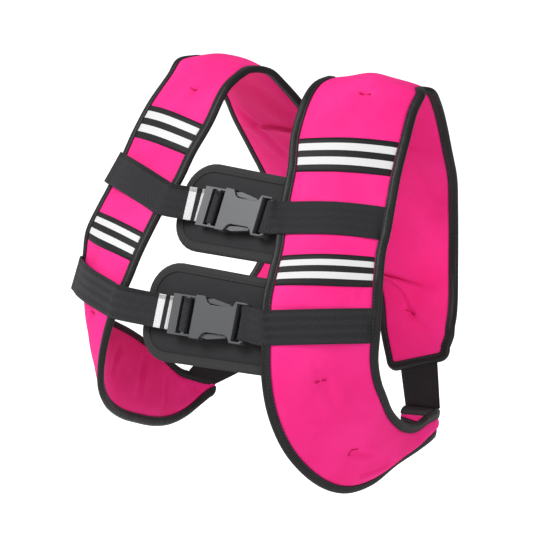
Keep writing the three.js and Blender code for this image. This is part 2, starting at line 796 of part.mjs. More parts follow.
// Pad behind a buckle: a padded strip from its free, rounded end to its sewn end behind the left strap.
const padShares = [0.3, 0.5, 0.7, 0.85, 1];

function backingStations(frame, { height, reach, centre }) {
  const behind = -(webbingBehindFrame + padBacking / 2 + seamGap);
  const free = inFrame(frame, buckleLength / 2 - centre - reach, 0, behind);
  const sewn = [1, -1].map((side) => {
    const station = leftHalf.stationAt(walk(leftHalf.neckAt, frame.left.t, (side * height) / 2));
    return sectionPoint(station, padTuck, -(2 * bindingRise + padDepth));
  });
  const low = free.clone().addScaledVector(frame.y, -height / 2);
  const high = free.clone().addScaledVector(frame.y, height / 2);
  const run = sewn[0].clone().add(sewn[1]).multiplyScalar(0.5).sub(free);
  const startShare = padCorner / run.length();
  const straight = [startShare, ...padShares].map((share) => {
    const neck = low.clone().lerp(sewn[0], share);
    const arm = high.clone().lerp(sewn[1], share);
    const across = arm.clone().sub(neck).normalize();
    const forward = sideways(run, across);
    const normal = across.clone().cross(forward);
    const station = { neck, arm, across, normal, forward, fill: 1 };
    station.frames = [
      edgeFrame(station, -1, sewn[0].clone().sub(low).normalize()),
      edgeFrame(station, 1, sewn[1].clone().sub(high).normalize()),
    ];
    station.margins = station.frames.map((f) => f.point.clone().addScaledVector(f.out, -flange));
    return station;
  });
  return [...roundedEnd(straight[0], padCorner, -1).reverse(), ...straight];
}

// The padding and its bindings, with room taken out for everything that lies on them
const rooms = { left: [], right: [] };
for (const [, distance, width] of tapes) {
  rooms.left.push(tape(leftHalf, distance, width, seamGap));
  rooms.right.push(mirrored(tape(rightHalf, distance, width, seamGap)));
}
const webbingRooms = { left: [], right: [] };
for (const closure of closures) {
  const frame = closureFrame(closure);
  webbingRooms.left.push(leftWebbing(frame, seamGap));
  webbingRooms.right.push(rightWebbing(frame, closure, seamGap));
}
const bindingRooms = [neckBindingPath, leftArmholePath, rightArmholePath].map((path) => binding(path, bindingSpare));
const leftShell = paddedStrip(leftHalf.stations, padThickness, padBow, seamGap / 2);
const rightShell = mirrored(paddedStrip(rightHalf.stations, padThickness, padBow, seamGap / 2));
const [neckRoom, leftArmholeRoom, rightArmholeRoom] = bindingRooms;
addPiece(
  'left_padded_half',
  carved(leftShell, [neckRoom, leftArmholeRoom, ...rooms.left, ...webbingRooms.left]),
  pinkNeoprene,
);
addPiece(
  'right_padded_half',
  carved(rightShell, [neckRoom, rightArmholeRoom, ...rooms.right, ...webbingRooms.right]),
  pinkNeoprene,
);
const allWebbing = [...webbingRooms.left, ...webbingRooms.right];
addPiece('neck_binding', carved(binding(neckBindingPath), allWebbing), blackBinding);
addPiece('left_armhole_binding', carved(binding(leftArmholePath), webbingRooms.left), blackBinding);
addPiece('right_armhole_binding', carved(binding(rightArmholePath), webbingRooms.right), blackBinding);
for (const [name, distance, width] of tapes) {
  addPiece(`left_${name}`, tape(leftHalf, distance, width), reflectiveTape);
  addPiece(`right_${name}`, mirrored(tape(rightHalf, distance, width)), reflectiveTape);
}

for (const closure of closures) {
  const frame = closureFrame(closure);
  const buckle = new THREE.Group();
  buckle.applyMatrix4(new THREE.Matrix4().makeBasis(frame.x, frame.y, frame.z).setPosition(frame.origin));
  vest.add(buckle);
  addPiece(`${closure.level}_female_buckle`, femaleBuckle(), greyPlastic, buckle);
  addPiece(`${closure.level}_male_buckle`, maleBuckle(), greyPlastic, buckle);
  addPiece(`left_${closure.level}_webbing`, leftWebbing(frame), blackWebbing);
  addPiece(`right_${closure.level}_webbing`, rightWebbing(frame, closure), blackWebbing);
  const stations = backingStations(closureFrame({ ...closure, turn: closure.padTurn }), closure);
  const edge = [...bindingFrames(stations, -1).reverse(), ...bindingFrames(stations, 1)];
  const filled = paddedStrip(stations, padBacking, 0, -halfWidth);
  addPiece(`${closure.level}_buckle_pad`, filled, blackNeoprene);
  addPiece(`${closure.level}_pad_binding`, binding(edge), blackBinding);
}

// Elastic side straps, from the bottom edge of each back leg to the upper edge of the wing end.
const elasticShares = [0, 0.25, 0.5, 0.75, 1];

function elastic(half, endPosition, endWidth) {
  const leg = half.legEnd[half.legEnd.length - 1];
  const clear = seamGap + bindingWall + seamGap;
  const top = leg.neck.clone().add(leg.arm).multiplyScalar(0.5).addScaledVector(leg.forward, clear);
  const wing = half.stationAt(endPosition);
  const ahead = half.armAt(endPosition + 0.4).sub(half.armAt(Math.max(0, endPosition - 0.4))).normalize();
  const end = wing.arm.clone().addScaledVector(sideways(wing.across, ahead), clear);
  const stations = elasticShares.map((share) => ({
    middle: top.clone().lerp(end, share),
    across: leg.across.clone().lerp(ahead, share).normalize(),
    width: THREE.MathUtils.lerp(elasticWidth, endWidth, share),
  }));
  return strap(stations, elasticThickness);
}

const bindingEdges = (path) => binding(path, 2 * seamGap);
addPiece(
  'left_side_elastic',
  carved(elastic(leftHalf, leftElasticPlace, leftElasticEnd), [bindingEdges(leftArmholePath)]),
  blackElastic,
);
addPiece(
  'right_side_elastic',
  carved(mirrored(elastic(rightHalf, rightElasticPlace, rightElasticEnd)), [bindingEdges(rightArmholePath)]),
  blackElastic,
);

export default vest;
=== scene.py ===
"""Weighted running vest: padded neoprene halves with bound edges, tapes, webbing, buckles and elastics.

Each half is a strap of rows, from its neck edge to its armhole edge, that runs from the front wing over the
shoulder to the back leg. Everything sewn to it is worked out from the same rows."""
import math

import bmesh
import bpy
import numpy as np
from mathutils import Matrix, Vector


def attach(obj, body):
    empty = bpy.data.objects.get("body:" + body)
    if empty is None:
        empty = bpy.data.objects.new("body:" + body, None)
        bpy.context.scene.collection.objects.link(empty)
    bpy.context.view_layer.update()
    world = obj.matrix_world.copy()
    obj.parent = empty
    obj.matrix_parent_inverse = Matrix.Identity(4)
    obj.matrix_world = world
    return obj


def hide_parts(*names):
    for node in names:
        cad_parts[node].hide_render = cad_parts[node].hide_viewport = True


bl_info = {
    "name": "Weighted Vest",
    "version": (1, 0, 0),
    "blender": (4, 5, 0),
    "location": "3D View > Sidebar > Vest",
    "description": "Builds a padded weighted running vest round its packed solids",
    "category": "Add Mesh",
}

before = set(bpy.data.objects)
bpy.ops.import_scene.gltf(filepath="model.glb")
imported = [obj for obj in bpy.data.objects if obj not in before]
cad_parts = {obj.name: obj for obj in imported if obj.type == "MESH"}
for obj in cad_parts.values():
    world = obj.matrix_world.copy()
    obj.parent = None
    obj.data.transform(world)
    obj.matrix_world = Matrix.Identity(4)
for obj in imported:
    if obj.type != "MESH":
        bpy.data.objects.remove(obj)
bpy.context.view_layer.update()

# Every length from here on is in millimetres, and MM turns it to metres
MM = 0.001

# The box that the rows are shares of
HALF_WIDTH = 194.0
FRONT_REACH = 194.0
BACK_REACH = 146.0
DROP = 420.0
SHOULDER = 8.5

# Padding, its seams and the corners of its ends
PAD_THICKNESS = 17.0
PAD_BOW = 2.0
SWELL_POWER = 0.6
SEWN_EDGE = 2.4
SEAM_GAP = 0.3
BACK_CORNER = 12.0
WING_CORNER_SPARE = 2.0

# How far either side of a row its run and its edges' tangents are taken, in rows
HALF_STEP = 0.5
TANGENT_REACH = 0.1

# Bindings and their stitching: how far in from the edge, and above the middle surface
BINDING_WIDTH = 8.5
BINDING_RISE = 3.8
FLANGE = 9.2
STITCH_PLACE = -6.6
STITCH_RISE = 3.45

# Webbing and buckles: heights are of the webbing's middle
WEBBING_WIDTH = 37.0
WEB_LIFT = 1.05
OVER_BINDING = 4.85
WEBBING_RISE = 4.5
WEBBING_BEHIND_FRAME = 7.4
BUCKLE_LENGTH = 92.0

# Pads behind the buckles
PAD_BACKING = 8.0
PAD_CORNER = 34.0
PAD_TUCK = 6.0
PAD_DEPTH = 0.7

# Rows across the padded strap, from neck edge to armhole edge, as shares of the driving sizes
LEFT_WING_ROWS = [
    (0.536, 0.555, 0.933, 0.536, 0.555, 0.881, 0),
    (0.629, 0.548, 0.938, 0.639, 0.541, 0.876, 0.3),
    (0.722, 0.493, 0.940, 0.753, 0.486, 0.867, 0.45),
    (0.773, 0.377, 0.936, 0.814, 0.356, 0.857, 0.6),
    (0.789, 0.171, 0.945, 0.840, 0.192, 0.855, 0.75),
    (0.773, -0.077, 0.964, 0.861, 0.014, 0.860, 0.85),
    (0.758, -0.304, 0.993, 0.881, -0.124, 0.845, 0.95),
    (0.742, -0.541, 0.988, 0.897, -0.237, 0.817, 1),
    (0.711, -0.763, 0.940, 0.912, -0.330, 0.781, 1),
    (0.649, -0.938, 0.852, 0.933, -0.412, 0.736, 1),
    (0.577, -0.990, 0.762, 0.948, -0.485, 0.690, 1),
    (0.536, -1.000, 0.669, 0.969, -0.546, 0.629, 1),
]
RIGHT_WING_ROWS = [
    (0.763, 0.397, 0.938, 0.794, 0.397, 0.886, 0),
    (0.789, 0.301, 0.957, 0.825, 0.301, 0.871, 0.35),
    (0.784, 0.123, 0.971, 0.845, 0.164, 0.850, 0.6),
    (0.763, -0.082, 0.971, 0.866, 0.041, 0.814, 0.8),
    (0.727, -0.278, 0.952, 0.881, -0.072, 0.774, 0.9),
    (0.691, -0.485, 0.919, 0.902, -0.165, 0.740, 1),
    (0.649, -0.706, 0.876, 0.923, -0.268, 0.707, 1),
    (0.608, -0.876, 0.824, 0.938, -0.366, 0.681, 1),
    (0.572, -0.979, 0.760, 0.954, -0.459, 0.657, 1),
    (0.536, -1.000, 0.669, 0.969, -0.546, 0.614, 1),
]
FRONT_ROWS = [
    (0.495, -0.948, 0.567, 1.000, -0.577, 0.555, 1),
    (0.448, -0.871, 0.483, 0.995, -0.557, 0.483, 1),
    (0.433, -0.804, 0.429, 0.990, -0.536, 0.424, 1),
    (0.412, -0.706, 0.364, 0.959, -0.464, 0.360, 1),
    (0.387, -0.644, 0.317, 0.943, -0.397, 0.319, 1),
    (0.345, -0.536, 0.250, 0.918, -0.309, 0.250, 1),
    (0.320, -0.448, 0.186, 0.897, -0.227, 0.186, 1),
    (0.273, -0.351, 0.114, 0.871, -0.108, 0.114, 1),
    (0.253, -0.216, 0.033, 0.835, 0.034, 0.050, 1),
    (0.237, -0.093, 0.005, 0.830, 0.137, 0.017, 1),
]
CREST_ROWS = [
    (0.237, 0.014, 0.0, 0.784, 0.233, 0.012, 1.0),
]
SHOULDER_ROWS = [
    (0.191, 0.151, 0.012, 0.794, 0.342, 0.021, 1),
    (0.144, 0.240, 0.048, 0.773, 0.479, 0.067, 1),
    (0.072, 0.308, 0.095, 0.753, 0.596, 0.131, 1),
    (0.000, 0.356, 0.143, 0.737, 0.692, 0.198, 1),
]
CENTRE_ROWS = [
    (0.000, 0.575, 0.226, 0.706, 0.829, 0.283, 1),
    (0.000, 0.795, 0.326, 0.660, 0.938, 0.371, 1),
    (0.000, 0.932, 0.421, 0.639, 0.986, 0.455, 1),
    (0.000, 0.986, 0.517, 0.649, 0.966, 0.538, 1),
    (0.000, 0.959, 0.602, 0.686, 0.890, 0.607, 0.9),
]
LEG_ROWS = [
    (0.088, 0.945, 0.610, 0.716, 0.815, 0.648, 0.8),
    (0.175, 0.863, 0.645, 0.732, 0.760, 0.669, 0.6),
    (0.258, 0.747, 0.714, 0.742, 0.726, 0.693, 0.35),
    (0.330, 0.685, 0.783, 0.732, 0.692, 0.721, 0),
]


def srgb(code):
    """An sRGB hex value turned to linear colour, by the standard curve."""
    values = [int(code[i:i + 2], 16) / 255 for i in (1, 3, 5)]
    return tuple(v / 12.92 if v <= 0.04045 else ((v + 0.055) / 1.055) ** 2.4 for v in values) + (1.0,)


def unit(vectors):
    """Each vector divided by its own length."""
    return vectors / np.linalg.norm(vectors, axis=-1, keepdims=True)


def dot(a, b):
    """Dot product of each pair of vectors, kept as a column."""
    return (a * b).sum(axis=-1, keepdims=True)


def blend(a, b, share):
    """a at share 0, b at share 1, and a straight mix of the two between."""
    return a + (b - a) * share


def ramp(values, low, high):
    """0 below low, 1 above high, and a smooth S (3x squared minus 2x cubed) between."""
    x = np.clip((values - low) / (high - low), 0, 1)
    return x * x * (3 - 2 * x)


def place(rows, first):
    """Row shares turned to millimetres for the neck edge (first 0) or the armhole edge (first 3)."""
    table = np.array(rows)[:, first:first + 3]
    depth = np.where(table[:, 1] < 0, FRONT_REACH, BACK_REACH)
    return np.stack([table[:, 0] * HALF_WIDTH, table[:, 1] * depth, SHOULDER - table[:, 2] * DROP], axis=1)


def smooth_curve(points, at):
    """Centripetal Catmull-Rom curve: between two points it is the cubic that leaves and arrives along the
    slopes of the neighbouring points, each gap weighted by the square root of its length."""
    points = np.asarray(points, float)
    last = len(points) - 1
    ends = np.vstack([2 * points[0] - points[1], points, 2 * points[-1] - points[-2]])
    at = np.clip(np.asarray(at, float), 0, last)
    i = np.minimum(at.astype(int), last - 1)
    x = (at - i)[:, None]
    p0, p1, p2, p3 = ends[i], ends[i + 1], ends[i + 2], ends[i + 3]
    g0 = np.linalg.norm(p1 - p0, axis=1)[:, None] ** 0.5 + 1e-9
    g1 = np.linalg.norm(p2 - p1, axis=1)[:, None] ** 0.5 + 1e-9
    g2 = np.linalg.norm(p3 - p2, axis=1)[:, None] ** 0.5 + 1e-9
    leave = ((p1 - p0) / g0 - (p2 - p0) / (g0 + g1) + (p2 - p1) / g1) * g1
    arrive = ((p2 - p1) / g1 - (p3 - p1) / (g1 + g2) + (p3 - p2) / g2) * g1
    square = x * x
    cube = square * x
    rise = (3 * square - 2 * cube) * (p2 - p1)
    return p1 + rise + (cube - 2 * square + x) * leave + (cube - square) * arrive


def edge_frame(station, side, tangent):
    """Frame on an edge: the normal squared to the edge's run, and outward across both."""
    normal = unit(station["normal"] - tangent * dot(station["normal"], tangent))
    point = station["neck"] if side < 0 else station["arm"]
    return {"point": point, "out": side * np.cross(tangent, normal), "normal": normal}


class Half:
    """One half of the vest, drawn on the wearer's left: two edges from the front wing, up the front, over the
    shoulder and down the back to the end of the back leg."""

    def __init__(self, wing_rows):
        rows = wing_rows + FRONT_ROWS + CREST_ROWS + SHOULDER_ROWS + CENTRE_ROWS + LEG_ROWS
        self.neck = place(rows, 0)
        self.arm = place(rows, 3)
        self.fill = np.array(rows)[:, 6]
        self.last = len(rows) - 1
        self.crest = len(wing_rows) + len(FRONT_ROWS)
        self.neck_corner = self.crest + len(SHOULDER_ROWS)
        self.arch_corner = self.neck_corner + len(CENTRE_ROWS)
        places = np.arange(0, self.crest + 0.001, 0.02)
        run = np.linalg.norm(np.diff(self.middle(places), axis=0), axis=1)
        travelled = np.concatenate([[0], np.cumsum(run)])
        self.front_places = places
        self.front_distance = travelled[-1] - travelled

    def neck_at(self, t):
        """The neck edge, in three separate curves that meet in the corners of the back."""
        t = np.clip(np.asarray(t, float), 0, self.last)
        stops = [0, self.neck_corner, self.arch_corner, self.last]
        found = np.zeros((len(t), 3))
        for low, high in zip(stops[:-1], stops[1:]):
            inside = (t > low) & (t <= high) if low else t <= high
            if inside.any():
                found[inside] = smooth_curve(self.neck[low:high + 1], t[inside] - low)
        return found

    def arm_at(self, t):
        """The armhole edge, in one curve."""
        return smooth_curve(self.arm, t)

    def middle(self, t):
        """Halfway between the two edges."""
        return (self.neck_at(t) + self.arm_at(t)) / 2

    def place_at(self, distance):
        """Row place at a distance down the front from the shoulder crest, along the middle of the strap."""
        return np.interp(distance, self.front_distance[::-1], self.front_places[::-1])

    def stations(self, t):
        """Edges, directions, frames, sewn margins and fill at each row place."""
        t = np.atleast_1d(np.asarray(t, float))
        neck = self.neck_at(t)
        arm = self.arm_at(t)
        on_back = (t >= self.neck_corner) & (t <= self.arch_corner)
        neck[on_back, 0] = SEAM_GAP / 2
        across = unit(arm - neck)
        low = np.clip(t - HALF_STEP / 2, 0, self.last)
        high = np.clip(t + HALF_STEP / 2, 0, self.last)
        forward = unit(self.middle(high) - self.middle(low))
        normal = unit(np.cross(across, forward))
        found = {"t": t, "neck": neck, "arm": arm, "across": across, "normal": normal}
        found["forward"] = np.cross(normal, across)
        found["fill"] = np.interp(t, np.arange(self.last + 1), self.fill)[:, None]
        first = np.where(t <= self.neck_corner, 0, self.arch_corner)
        final = np.where(t <= self.neck_corner, self.neck_corner, self.last)
        behind = self.neck_at(np.maximum(first, t - TANGENT_REACH) + 1e-6)
        ahead = self.neck_at(np.minimum(final, t + TANGENT_REACH))
        edge = edge_frame(found, -1, unit(ahead - behind))
        on_seam = ((t > self.neck_corner) & (t < self.arch_corner))[:, None]
        out = np.where(on_seam, -across, edge["out"])
        up = np.where(on_seam, normal, edge["normal"])
        near = np.abs(t[:, None] - np.array([self.neck_corner, self.arch_corner])).min(axis=1)
        square = (1 - ramp(near, 0, HALF_STEP))[:, None]
        flat = np.array([0, 1, 1.0])
        out = unit(blend(out, unit(edge["out"] * flat), square))
        up = unit(up - out * dot(up, out))
        back = self.arm_at(np.maximum(0, t - TANGENT_REACH))
        on = self.arm_at(np.minimum(self.last, t + TANGENT_REACH))
        found["low"] = {"point": neck, "out": out, "normal": up}
        found["high"] = edge_frame(found, 1, unit(on - back))
        room = np.linalg.norm(arm - neck, axis=1, keepdims=True) / 2 - 0.5
        reach = np.minimum(FLANGE, room)
        found["margins"] = [found[k]["point"] - found[k]["out"] * reach for k in ("low", "high")]
        return found

    def rounded_end(self, t, radius, direction, turns):
        """Stations round the two corners of an end: the half width shrinks by the radius times one minus the
        cosine of the turn, while the middle moves on by the radius times its sine."""
        one = self.stations([t])
        width = np.linalg.norm(one["arm"] - one["neck"])
        if radius is None:
            radius = width / 2 - WING_CORNER_SPARE
        turns = np.radians(turns)[:, None]
        half = width / 2 - radius * (1 - np.cos(turns))
        middle = (one["neck"] + one["arm"]) / 2 + one["forward"] * direction * radius * np.sin(turns)
        neck = middle - one["across"] * half
        arm = middle + one["across"] * half
        ones = np.ones_like(half)
        found = {"t": t + 0 * turns[:, 0], "neck": neck, "arm": arm, "fill": 0 * ones}
        for key in ("across", "normal", "forward"):
            found[key] = one[key] * ones
        for key, side, point in (("low", -1, neck), ("high", 1, arm)):
            out = one["across"] * side * np.cos(turns) + one["forward"] * direction * np.sin(turns)
            found[key] = {"point": point, "out": out, "normal": one["normal"] * ones}
        reach = np.minimum(FLANGE, half - 0.5)
        found["margins"] = [neck + one["across"] * reach, arm - one["across"] * reach]
        return found


def picked(stations, which):
    """The same stations in another choice or order."""
    found = {}
    for key, value in stations.items():
        if isinstance(value, dict):
            found[key] = picked(value, which)
        elif isinstance(value, list):
            found[key] = [v[which] for v in value]
        else:
            found[key] = value[which]
    return found


def joined(*groups):
    """Several runs of stations, or of frames, one after the other."""
    found = {}
    for key, value in groups[0].items():
        if isinstance(value, dict):
            found[key] = joined(*[g[key] for g in groups])
        elif isinstance(value, list):
            found[key] = [np.concatenate([g[key][i] for g in groups]) for i in range(len(value))]
        else:
            found[key] = np.concatenate([g[key] for g in groups])
    return found


def flipped(points):
    """Mirrored to the wearer's right."""
    return points * np.array([-1.0, 1, 1])


def pad_profile(fill, share):
    """Half thickness and arch of the padding between its sewn margins. The half thickness is the seam's plus
    the rest of the fill times the sine of the way across to the power 0.6. The arch is the bow times the sine
    squared."""
    swell = np.sin(np.pi * np.clip(share, 0, 1))
    full = np.maximum(0, PAD_THICKNESS * fill / 2 - SEWN_EDGE)
    return SEWN_EDGE + full * swell ** SWELL_POWER, PAD_BOW * fill * swell * swell


def pad_point(stations, share, side, lift=0):
    """Points on the outer (side 1) or inner (side -1) face, share of the way between the sewn margins."""
    low, high = stations["margins"]
    share = np.asarray(share, float)
    half, arch = pad_profile(stations["fill"], share)
    normal = unit(blend(stations["low"]["normal"], stations["high"]["normal"], share))
    return blend(low, high, share) + normal * (arch + side * (half + lift))


def section_point(stations, distance, height):
    """A distance from the neck edge straight across, and a height above the middle surface."""
    return stations["neck"] + stations["across"] * distance + stations["normal"] * height


def face_height(stations, distance, side, lift):
    """Height of a half's outer face (side 1) or inner face (side -1) over its middle surface, with a lift."""
    width = np.linalg.norm(stations["arm"] - stations["neck"], axis=1, keepdims=True)
    share = (distance - FLANGE) / (width - 2 * FLANGE)
    half, arch = pad_profile(stations["fill"], share)
    return arch + side * (half + lift)


def strip_width(stations):
    """Width of the strap at each station, edge to edge."""
    return np.linalg.norm(stations["arm"] - stations["neck"], axis=1, keepdims=True)


def sewn_rings(stations, offset, thickness, bow, cuts=15):
    """Closed rings round a padded strip: half circles at the two sewn edges, and between the margins the pad
    profile at places bunched to both ends by a cosine. offset(share, side) moves the two faces outward."""
    nose = np.radians([90, 60, 30, 0])
    share = (1 - np.cos(np.linspace(0, np.pi, cuts))) / 2
    full = np.maximum(0, thickness * stations["fill"] / 2 - SEWN_EDGE)
    swell = np.sin(np.pi * share)[None, :]
    half = SEWN_EDGE + full * swell ** SWELL_POWER
    arch = bow * stations["fill"] * swell * swell
    low, high = stations["low"], stations["high"]
    normal = unit(blend(low["normal"][:, None], high["normal"][:, None], share[None, :, None]))
    base = blend(stations["margins"][0][:, None], stations["margins"][1][:, None], share[None, :, None])
    faces = []
    for side in (1, -1):
        rise = arch + side * (half + offset(share, side) * swell ** 0.5)
        parts = []
        for bound, turns in ((low, nose), (high, nose[::-1])):
            out = SEWN_EDGE * (np.sin(turns) - 1)
            up = side * SEWN_EDGE * np.cos(turns)
            edge = bound["point"][:, None] + bound["out"][:, None] * out[None, :, None]
            parts.append(edge + bound["normal"][:, None] * up[None, :, None])
        faces.append(np.concatenate([parts[0], base + normal * rise[..., None], parts[1]], axis=1))
    return np.concatenate([faces[0], faces[1][:, -2:0:-1]], axis=1)


def flat_section(width, thickness):
    """Section of a woven strap: a flat with half circles on both edges, as (across, height) pairs."""
    turn = np.radians(np.linspace(-90, 90, 5))
    radius = thickness / 2
    right = np.stack([width / 2 - radius + radius * np.cos(turn), radius * np.sin(turn)], axis=-1)
    spread = np.linspace(1, -1, 9)[1:-1] * (width / 2 - radius)
    top = np.stack([spread, 0 * spread + radius], axis=-1)
    return np.concatenate([right, top, -right, -top])


def strap_rings(middle, across, width, thickness):
    """Rings of a strap that follows its middle line: the width runs along across, squared to the run."""
    run = unit(np.gradient(middle, axis=0))
    level = unit(across - run * dot(across, run))
    normal = np.cross(level, run)
    rings = np.stack([flat_section(w, thickness) for w in width])
    return middle[:, None] + level[:, None] * rings[..., :1] + normal[:, None] * rings[..., 1:]


def drawn_out(stations, steps=8):
    """A webbing path of (middle, across, width) places drawn as one smooth curve."""
    middle, across, width = (np.array(x, float) for x in zip(*stations))
    at = np.linspace(0, len(middle) - 1, (len(middle) - 1) * steps + 1)
    return smooth_curve(middle, at), smooth_curve(across, at), np.interp(at, np.arange(len(width)), width)


def binding_rings(frames):
    """Rings of the folded binding: a half circle round the edge and two flats that run back along both faces,
    each pulled in a little along its stitching."""
    turns = np.radians(np.linspace(0, 180, 13))
    back = np.array([-8.5, -8.3, -7.6, -6.9, -6.3, -5.6, -4.4])
    rise = np.array([2.9, 3.5, 3.7, 3.35, 3.3, 3.75, 3.9])
    nose = np.stack([-2.4 + 3.8 * np.sin(turns), 3.8 * np.cos(turns)], axis=1)
    over = np.concatenate([np.stack([back, rise], 1), nose, np.stack([back, -rise], 1)[::-1]])
    bore = np.stack([-2.4 + 2.65 * np.sin(turns), 2.65 * np.cos(turns)], axis=1)
    bed = np.stack([back, 0 * back + 2.6], 1)
    under = np.concatenate([bed, bore, (bed * [1, -1])[::-1]])
    section = np.concatenate([over, under[::-1]])
    return (frames["point"][:, None] + frames["out"][:, None] * section[None, :, :1]
            + frames["normal"][:, None] * section[None, :, 1:])


def solid_mesh(name, rings, v_places=None):
    """A closed skin through rings of equal length, in millimetres. Quads from side to side of each end ring
    fill it in. UV is metres along and round."""
    n, m = rings.shape[:2]
    a = np.arange(n - 1)[:, None] * m + np.arange(m)[None, :]
    b = np.arange(n - 1)[:, None] * m + (np.arange(m)[None, :] + 1) % m
    quads = np.stack([a, b, b + m, a + m], axis=-1).reshape(-1, 4)
    i = np.arange(m // 2 - 1) + (m % 2)
    cap = np.stack([i, i + 1, m - 2 - i + (m % 2), m - 1 - i + (m % 2)], axis=-1)
    quads = np.concatenate([quads, cap[:, ::-1], cap + (n - 1) * m])
    points = rings.reshape(-1, 3)
    p = points[quads]
    volume = (p[:, 0] * np.cross(p[:, 1], p[:, 2]) + p[:, 0] * np.cross(p[:, 2], p[:, 3])).sum()
    if volume < 0:
        quads = quads[:, ::-1]
    along = np.concatenate([[0], np.cumsum(np.linalg.norm(np.diff(rings.mean(axis=1), axis=0), axis=1))])
    if v_places is None:
        step = np.linalg.norm(np.diff(rings[n // 2], axis=0), axis=1)
        v_places = np.concatenate([[0], np.cumsum(step)])
    uv = np.stack(np.broadcast_arrays(along[:, None], np.asarray(v_places)[None, :]), axis=-1).reshape(-1, 2)
    return mesh_object(name, points, quads, uv * MM)


def mesh_object(name, points, faces, uv=None):
    """A smooth-shaded object from points in millimetres."""
    mesh = bpy.data.meshes.new(name)
    mesh.from_pydata((points * MM).tolist(), [], faces.tolist())
    if uv is not None:
        corners = np.zeros(len(mesh.loops), dtype=np.int32)
        mesh.loops.foreach_get("vertex_index", corners)
        layer = mesh.uv_layers.new(name="UVMap")
        layer.data.foreach_set("uv", uv[corners].astype(np.float32).ravel())
    mesh.polygons.foreach_set("use_smooth", np.ones(len(mesh.polygons), dtype=bool))
    mesh.validate()
    mesh.update()
    obj = bpy.data.objects.new(name, mesh)
    bpy.context.scene.collection.objects.link(obj)
    return obj


def stitch_beads(name, frames, pitch):
    """A run of thread stitches along frames, on both faces: each is an eight-sided bead, long in the run."""
    point = frames["point"] + frames["out"] * STITCH_PLACE
    travelled = np.concatenate([[0], np.cumsum(np.linalg.norm(np.diff(point, axis=0), axis=1))])
    at = np.arange(pitch, travelled[-1] - pitch, pitch)

    def sampled(values):
        """Values at the stitches."""
        return np.stack([np.interp(at, travelled, values[:, k]) for k in range(3)], axis=1)

    centre, up = sampled(point), unit(sampled(frames["normal"]))
    run = unit(np.gradient(centre, axis=0))
    wide = np.cross(up, run)
    corners = np.array([[1, 0, 0], [0, 1, 0], [-1, 0, 0], [0, -1, 0], [0, 0, 1], [0, 0, -1.0]])
    sizes = corners * [pitch * 0.38, 0.6, 0.5]
    tris = np.array([[0, 1, 4], [1, 2, 4], [2, 3, 4], [3, 0, 4], [1, 0, 5], [2, 1, 5], [3, 2, 5], [0, 3, 5]])
    points, faces = [], []
    for side in (1, -1):
        middle = centre + up * side * STITCH_RISE
        flat = run[:, None] * sizes[:, :1] + wide[:, None] * sizes[:, 1:2]
        bead = middle[:, None] + flat + up[:, None] * sizes[:, 2:]
        base = np.arange(len(at))[:, None, None] * 6 + sum(len(p) for p in points)
        points.append(bead.reshape(-1, 3))
        faces.append((tris[None] + base).reshape(-1, 3))
    return mesh_object(name, np.concatenate(points), np.concatenate(faces))


# Materials
def node(tree, kind, links=(), out=None, **settings):
    """A shader node with its settings, and values or sockets for its inputs. With out, that output of it."""
    made = tree.nodes.new(kind)
    for key, value in settings.items():
        setattr(made, key, value)
    for key, value in dict(links).items():
        if isinstance(value, bpy.types.NodeSocket):
            tree.links.new(value, made.inputs[key])
        else:
            made.inputs[key].default_value = value
    return made if out is None else made.outputs[out]


def surface(name, roughness, sheen=0.0, tint=(1, 1, 1, 1), gloss=0.2):
    """A new material with its tree and its Principled shader."""
    material = bpy.data.materials.new(name)
    material.use_nodes = True
    tree = material.node_tree
    shader = tree.nodes["Principled BSDF"]
    shader.inputs["Roughness"].default_value = roughness
    shader.inputs["Sheen Weight"].default_value = sheen
    shader.inputs["Sheen Tint"].default_value = tint
    shader.inputs["Specular IOR Level"].default_value = gloss
    return material, tree, shader


def knit_material(name, light, dark, roughness, sheen, grain=0.0006, gloss=0.2):
    """Neoprene foam with knitted jersey laid on both faces. The jersey is matt, a little furry at grazing
    angles. Its colour shifts at random between the light and the dark colour in patches of about 60 mm. This
    is partly the jersey's own uneven tone and partly painted highlight and painted shade. grain is the size
    of the jersey's loops, and the soft bumps under it are 17 mm apart."""
    material, tree, shader = surface(name, roughness, sheen, light, gloss)
    spot = node(tree, "ShaderNodeTexCoord", out="Object")
    # Random patches between the dark and the light colour: partly the jersey's own uneven tone, partly
    # painted shade and painted highlight.
    patches = node(tree, "ShaderNodeTexNoise", {"Vector": spot, "Scale": 16.0, "Detail": 4.0}, out="Fac")
    mix = {"Factor": patches, "A": dark, "B": light}
    colour = node(tree, "ShaderNodeMix", mix, "Result", data_type="RGBA")
    loops = node(tree, "ShaderNodeTexNoise", {"Vector": spot, "Scale": 1 / grain, "Detail": 2.0}, out="Fac")
    soft = node(tree, "ShaderNodeTexNoise", {"Vector": spot, "Scale": 60.0, "Detail": 2.0}, out="Fac")
    low = node(tree, "ShaderNodeMath", {0: loops, 1: 0.12}, 0, operation="MULTIPLY")
    height = node(tree, "ShaderNodeMath", {0: low, 1: soft}, 0, operation="ADD")
    relief = node(tree, "ShaderNodeBump", {"Height": height, "Strength": 0.6, "Distance": 0.0022}, "Normal")
    tree.links.new(colour, shader.inputs["Base Color"])
    tree.links.new(relief, shader.inputs["Normal"])
    return material


def along_and_across(tree):
    """The piece's own UV, split: metres along and metres round."""
    uv = node(tree, "ShaderNodeUVMap", out=0, uv_map="UVMap")
    parts = node(tree, "ShaderNodeSeparateXYZ", {0: uv})
    return parts.outputs["X"], parts.outputs["Y"]


